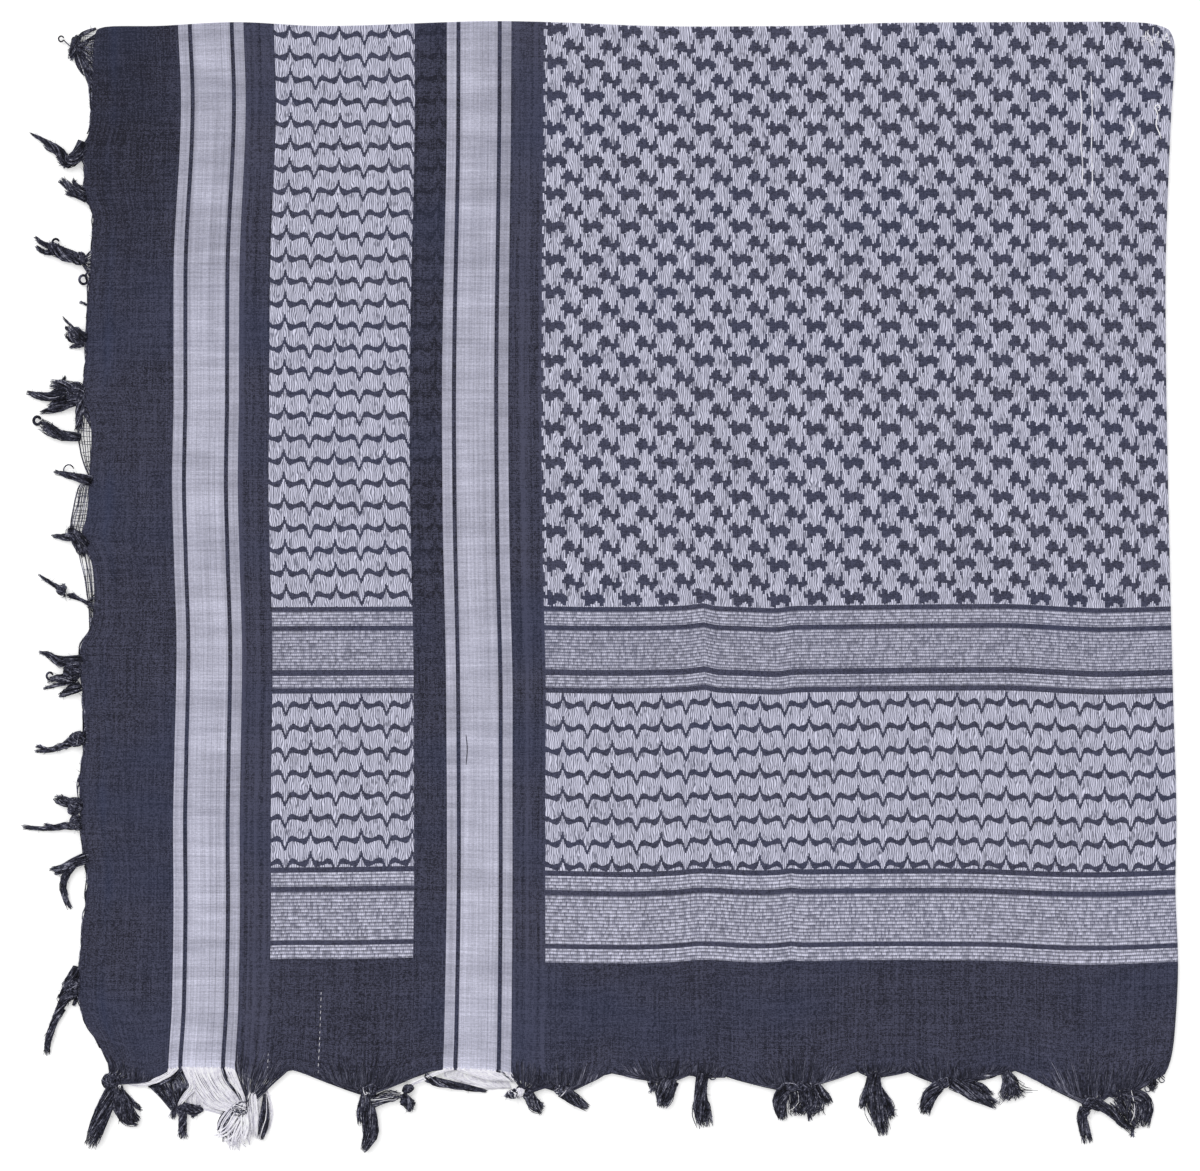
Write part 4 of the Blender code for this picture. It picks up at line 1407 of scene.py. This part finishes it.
def fan(low, high, gates, layer=0.0, colour=None, pitch=0.35):
    """Warp threads from a stretch of the bottom edge that run on side by side.

    A gate is the two (across, up) ends of a line that they all pass through.
    """
    base = np.arange(low, high, pitch)
    strands = len(base)
    rank = ((base - low) / (high - low))[:, None]
    inside = thread_chance.uniform(0.2, 1.5, strands)
    places = [
        np.stack(lie_of_weave(base, inside), axis=-1),
        np.stack(lie_of_weave(base, np.zeros(strands)), axis=-1),
    ]
    heights = [face_top(base, inside) - 0.1, np.full(strands, 2.75)]
    for number, (first, last) in enumerate(gates):
        gate = np.array(first) * (1 - rank) + np.array(last) * rank
        places.append(gate + thread_chance.normal(0, 0.22, (strands, 2)))
        heights.append(2.65 - 0.35 * number + thread_chance.normal(0, 0.2, strands))
    heights = np.maximum(np.stack(heights, axis=1) - layer, off_table)
    controls = np.concatenate([np.stack(places, axis=1), heights[..., None]], axis=-1)
    radii = 0.24 * thread_chance.uniform(0.8, 1.2, strands)
    return [(smooth_paths(controls, 3 * len(places) + 1), radii, warp_colours(base, colour))]


# What each tassel is made of, from the left: all places are (across, up) in the weave.
bottom_tassels = {
    "tassel_bottom_01": [
        bottom_gather(0.8, 40, (14, -7), 0.5), lump(14.5, -6, 4.2, 5, 20, 44),
        lock([(16, -8), (10, -22), (3.5, -40)], [3.2, 4.2, 3.4], 80, 2, 0.12),
        fan(
            49.5, 54.3,
            [
                ((42, -2.2), (44, -3.4)), ((36.5, -4.9), (37.8, -6.5)), ((31.2, -6.4), (32, -8.4)),
                ((25.7, -7), (27, -8.8)), ((19, -5.6), (19, -6.8)),
            ],
            -0.3, 1.0, 0.25,
        ),
        fan(
            54.3, 56.4, [((45, -3.6), (47, -4.3)), ((38.5, -7), (39, -8)), ((32.5, -8.8), (33, -9.8))],
            0.1, 0.0, 0.3,
        ),
        lock([(19, -8), (17.5, -13)], [0.6, 0.3], 6, 2, 0.1, 1.0, False, lift=3),
    ],
    "tassel_bottom_02": [
        lock([(17, -9), (19, -17), (23, -24), (28.5, -27)], [3, 4.6, 4.8, 2.2], 90, 2, 0.1),
        lock([(20, -12), (26, -18), (29, -22)], [1.4, 0.8, 0.3], 12, 2, 0.5),
        lock([(19, -11), (19.5, -19), (22.5, -27)], [2.4, 3.4, 3.2], 40, 2, 0.2),
    ],
    "tassel_bottom_03": [
        fan(
            28, 57,
            [((31, -7.5), (54.3, -6.6)), ((38.5, -14), (51.5, -13)), ((44.5, -21.5), (49.8, -20))], 1.2,
            0.0,
        ),
        lump(50, -20.5, 2.6, 3.6, 20, 34),
        fan(
            56.4, 60.5,
            [
                ((53.5, -8), (56.5, -9.5)), ((50.6, -13), (53, -13.8)), ((47.7, -18), (49.3, -18.6)),
                ((49, -21.5), (50, -21.5)),
            ],
            0.2, 0.7, 0.25,
        ),
        lock([(50, -21), (50, -28), (49.5, -35.5)], [2.2, 2, 1.7], 34, 4),
        lock([(50, -19), (55, -20.5), (60.5, -20)], [2.4, 2.6, 1.2], 34),
        lock([(49, -20), (46, -21), (44.5, -26)], [1.8, 1.4, 0.7], 18),
        lock([(60, -20), (56, -23), (54, -25)], [1, 1.2, 0.5], 14),
    ],
    "tassel_bottom_04": [
        fan(
            56.4, 75.2,
            [
                ((54.6, -8.8), (72.3, -6.6)), ((62.4, -18.4), (77.3, -13.3)),
                ((75.7, -22.2), (80.7, -19.4)),
            ],
            0.0, 1.0, 0.28,
        ),
        fan(
            56.4, 80,
            [
                ((53.3, -9), (72, -8)), ((52.3, -18.2), (74, -16)), ((60, -20.6), (75, -19)),
                ((70.7, -23.5), (77, -20.5)),
            ],
            1.2, 1.0, 0.24,
        ),
        fan(
            75.2, 77,
            [((72.3, -6.6), (73, -6.3)), ((77.3, -13.3), (78, -13)), ((80.7, -19.4), (81.2, -19.2))],
            -0.1, 0.0, 0.25,
        ),
        fan(
            77, 81.8,
            [
                ((73.6, -4.5), (77.4, -3.5)), ((76, -9.5), (79.8, -9.9)), ((80, -17), (82.2, -17.2)),
                ((80.7, -19.5), (82.5, -19)),
            ],
            -0.1, 1.0, 0.25,
        ),
        bottom_gather(82, 109, (83, -18), 0.0, colour=0.3, rise=15, pitch=0.45, lean=0.04),
        lump(79, -20.5, 4.0, 4.6, 90, 50, 0.45),
        lock([(77, -22), (73, -30), (69.5, -37)], [4, 4, 3.6], 20, 1, 0.5, 0.8, False, cords=2.2),
        lock([(79, -22), (77, -31), (75, -41)], [4, 3.6, 3], 20, 1, 0.5, 0.85, False, cords=2.2),
        lock([(80, -22), (81.5, -30), (80.5, -38)], [3.2, 3.0, 2.4], 14, 1, 0.5, 0.9, False, cords=2.2),
        lock([(75, -19), (70, -26), (67, -34)], [1.6, 1.4, 1], 10, 1, 0.5, 0.7, False, cords=2.2),
        lock(
            [(84.5, -8), (85.3, -16), (86.2, -25), (87, -35)], [0.6, 3.2, 3.6, 2.8], 64, 0.5, 0.1, 1.0,
            lift=-0.6,
        ),
        lock([(91.3, -13), (91, -25), (88.5, -36)], [0.8, 2.6, 1.8], 34, 1, 0.12, 0.12, lift=0.5),
        lock([(91, -9), (94.2, -22), (92, -34)], [0.7, 1.0, 0.6], 16, 1, 0.1, 1.0),
    ],
    "tassel_bottom_05": [
        bottom_gather(112, 178, (142.5, -11.5), 0.5, rise=14), lump(143, -10.5, 3.6, 5, 0, 44),
        lock([(142, -12), (143, -22), (144.3, -33), (140.5, -42)], [2.6, 3.9, 3.9, 1.4], 84, 2, 0.12),
        lock([(140, -14), (138, -22), (139, -29)], [1.2, 0.9, 0.6], 12, 1, 0.3),
        lock([(145, -17), (153, -14), (160, -13)], [3.0, 2.6, 2.0], 28, 1, 0.3, 0.2, False),
        lump(163, -10, 2.2, 3.2, 20, 20),
        lock([(160, -13), (164, -18), (166.5, -19)], [2, 2.8, 2], 34, 3),
        lump(161, -16.5, 2, 2.4, 60, 18), lock([(163, -16), (163.5, -22)], [1.8, 1], 14),
        lock([(141, -9), (142, -12), (145, -12)], [0.8, 1, 0.5], 8, 1, 0.2, 1.0, False, lift=3.2),
        fan(
            182.4, 187.2,
            [((176.5, -1.8), (182, -1.4)), ((169, -5.5), (174, -4.4)), ((160.5, -9.2), (161, -9.8))],
            -0.3, 1.0, 0.25,
        ),
    ],
    "tassel_bottom_06": [
        fan(189.3, 207.9, [((190, -1.3), (210, -2.5)), ((205, -6.2), (215.3, -6.6))], 0, 1.0, 0.3),
        fan(208, 209.8, [((210, -1.8), (210.8, -1.8)), ((215, -6.8), (215.4, -6.6))], -0.1, 0.0, 0.3),
        fan(
            209.9, 214.7, [((210.8, -1.8), (214.6, -1.8)), ((215.5, -6.8), (217.2, -6.4))], -0.1, 1.0,
            0.25,
        ),
        bottom_gather(216, 240, (221, -12), 0.0, lean=0.0),
        fan(
            186, 214,
            [((181, -2.5), (213, -4)), ((184, -5.2), (214, -7.5)), ((203, -10.6), (214.5, -10))], 1.2,
            1.0, 0.28,
        ),
        lump(219, -11.8, 2.2, 3.0, 10, 24, 1.0),
        lock([(171, -4), (178, -6.8), (190, -9.3), (203, -11.6)], [2.0, 2.4, 1.7, 0.9], 36, 5, 0.08),
        lump(216, -12.5, 2.4, 3.6, 20, 22, 0.3), lump(223, -13, 2.6, 3.2, 100, 22),
        loop(219.5, -11.5, 2.0, 0.9), lock([(223, -12), (226, -18), (231, -20.5)], [2.6, 3, 2.2], 40),
        lock([(214, -12), (212, -15)], [1.6, 1.0], 14, 1, 0.3, 0.5),
        lock([(219, -12), (217, -15)], [1.2, 0.8], 10, 1, 0.3, 0.3),
    ],
    "tassel_bottom_07": [
        bottom_gather(224, 247, (240, -11.5), 0.3, rise=10),
        bottom_gather(247, 264, (240, -11.5), 0.3, colour=0.6, rise=10, pitch=0.3, lean=0.05),
        lump(239.5, -11, 2.6, 4.5, 150, 30, 0.12),
        lock([(240, -11), (246.5, -15.5), (253.5, -20)], [3.4, 3.2, 1.6], 50, 2, 0.08),
    ],
    "tassel_bottom_08": [
        bottom_gather(263, 281, (291, -6), 1.2, colour=0.5, rise=9, pitch=0.3, lean=0.05),
        bottom_gather(281, 305, (291, -6), 1.2, rise=10),
        lock([(293, -5), (291.5, -13), (290, -20)], [4.6, 4.8, 2.6], 70, 1, 0.2),
        lock([(284, -6), (287, -12)], [2, 1], 16, 1, 0.6, core=False),
        lock([(297, -7), (295, -14)], [1.6, 0.8], 14),
    ],
    "tassel_bottom_09": [
        bottom_gather(303, 322, (310, -4), 0.6, rise=6),
        lock([(310.5, -2), (309.5, -12), (310, -21), (312, -30)], [3.2, 2.9, 4, 3.2], 76, 1.5, 0.22),
        loop(315.5, -3.5, 2, 0.4, (312, -4)),
    ],
    "tassel_bottom_10": [
        bottom_gather(318, 370, (357, -10), 0.5, rise=12),
        bottom_gather(370, 389, (357, -10), 0.5, colour=0.6, rise=12, pitch=0.3, lean=0.05),
        lump(358, -9, 2.6, 9, 0, 44),
        lock([(352, -9), (349, -17), (351, -26)], [3.6, 3.8, 2.4], 66, 2, 0.1),
        lock([(357, -10), (358.5, -17), (359, -24)], [4.2, 4.8, 3.4], 52, 1, 0.5, 0.06, False),
        lock([(363, -9), (366, -16), (366, -24)], [4, 5, 3], 56, 1, 0.4),
        lock([(367, -9), (371, -14), (375, -18)], [2.8, 3, 1.2], 34, 1, 0.3),
        lock([(362, -10), (364, -20), (364, -27)], [1.6, 1.6, 0.8], 16, 1, 0.3),
    ],
    "tassel_bottom_11": [
        bottom_gather(388, 414, (396, -4), 1.0, rise=6),
        lock([(396.5, -2), (396, -8), (398, -20), (401, -34)], [3, 3.6, 4.7, 1.6], 90, 1.2, 0.5),
        lock([(394, -7), (391.5, -15), (390, -21)], [1.6, 1.8, 0.8], 18, 1, 0.4),
        lock([(398, -9), (403, -18), (406, -26)], [2, 2.4, 1.2], 26, 1, 0.7),
    ],
    "tassel_bottom_12": [
        bottom_gather(412, 436, (430, -7), 1.2, rise=8), lump(431, -7, 2.8, 5, 20, 34),
        lock([(429, -8), (424, -14), (421, -23.5)], [3.2, 3.6, 2.8], 60, 2, 0.1),
    ],
    "tassel_bottom_13": [
        bottom_gather(434, 468, (441, -6), 0.8, rise=6),
        lock([(435, -7), (446, -12.5), (458.5, -19)], [3.4, 3.6, 2.2], 60, 2, 0.08),
        lock([(442, -5), (452, -4), (460, -1.5)], [1.6, 1.6, 1.4], 22, 2, 0.1, 0.15),
        lock([(442, -7), (450, -9), (456, -14)], [1.6, 1.6, 0.8], 20),
        lock([(462, -1), (464.5, -8), (467, -16)], [2.2, 3.6, 4.0], 50, 0.6, 0.9),
        lock([(462, -6), (461, -11), (463, -16)], [1.4, 1.2, 0.6], 14, 1, 0.5),
    ],
    "tassel_bottom_14": [
        bottom_gather(470, 500, (505, -18), 0.0, colour=0.5, rise=15, pitch=0.3, lean=0.06),
        bottom_gather(500, 521, (505, -18), 0.0, rise=14), lump(503.5, -17, 3.4, 4, 100, 34),
        lock([(502, -20), (500.5, -25), (503.5, -37.5)], [3, 2.6, 2.6], 56, 2, 0.08),
        lock([(504, -18), (509, -20), (512, -18)], [1.8, 1.6, 0.6], 18),
    ],
    "tassel_bottom_15": [
        bottom_gather(512, 542, (520, -15), 0.0, rise=10),
        lock([(505, -16), (514, -21), (526, -32)], [2.4, 2.6, 1.4], 44, 1, 0.1),
        lock([(520, -12), (530, -14), (533, -20), (532, -30)], [3, 3, 2.8, 1.8], 60, 1, 0.2),
        lock([(515, -17), (521, -24), (529, -30)], [4.5, 4.5, 2], 30, 1, 0.25, core=False),
        lock([(526, -30), (525.5, -35)], [0.9, 0.4], 8, 1, 0.3),
        lock([(522, -12), (526, -20), (528, -29)], [6, 5.5, 3], 40, 1, 0.25, 0.12, False),
        loop(537, -6.5, 1.8, 0.3, (534, -4)), loop(540.5, -5.5, 1.5, 0.3, (539, -3)),
        lock([(534, -4), (536, -8), (535, -12)], [2.5, 1.8, 0.6], 14, 1, 0.5, core=False),
        loop(533.5, -10, 1.6, 0.3, (532, -7)),
    ],
}
bottom_pieces = tassel_pieces(bottom_tassels)


# ---------------------------------------------------------------------------
# Pulled threads on the face. On the real one a few white cotton threads have been drawn out of the
# weave: long straight ones, small curls, a tuft at the folded corner and some that show as dashes.

def pull(points, lift, steps, thickness, finish=white_yarn):
    """Lays one thread along (across, up) points of the face, lift above it, in so many steps."""
    across, up = np.array(points, float).T
    path = np.stack([*lie_of_weave(across, up), face_top(across, up) + lift], axis=-1)
    pulled.append((smooth_paths(path[None], steps), np.array([thickness]), np.array([finish])))


pulled = []
for points in (
    [(499, 491.5), (500, 478), (499.4, 466), (500.4, 452), (500, 441.5)],
    [(504.6, 496), (505.2, 478), (504.8, 460), (505.3, 446), (505, 433)],
):
    pull(points, 0.05, 40, 0.30)
curl = [
    (538.2 + 1.3 * math.cos(turn), 480.5 + 1.5 * math.sin(turn))
    for turn in np.linspace(-1.2, 4.3, 9)
]
curl += [(538.4, 476.5), (537.8, 472), (539.6, 468), (540.6, 465)]
pull(curl, 0.3, 36, 0.34)
for shift in (0, 0.5, 1.0):
    sliver = [(523.4 + shift, 475 - shift), (525.8 + shift * 0.7, 470), (523.9 + shift, 464 + shift)]
    pull(sliver, 0.15, 12, 0.28)
for number in range(24):
    start = np.array([thread_chance.uniform(531, 543), thread_chance.uniform(511, 519.5)])
    reach = thread_chance.normal(0, 1, 2) * [1.4, 3.4]
    tuft = [
        start, start + reach * 0.5 + thread_chance.normal(0, 0.6, 2),
        np.minimum(start + reach, [544, 520.5]),
    ]
    pull(tuft, 0.12, 8, 0.23)
for line, low, high in ((122, 2, 39.5), (97.5, 3.5, 12)):
    for bottom in np.arange(low, high, 2.9):
        dash = [(line, bottom), (line + 0.15, bottom + thread_chance.uniform(0.9, 1.9))]
        pull(dash, -0.05, 4, 0.17)
pull([(192, 152), (192.6, 160), (192, 167)], 0.05, 10, 0.22, navy_yarn)
pulled_threads = thread_piece("pulled_threads", pulled)

low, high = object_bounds()
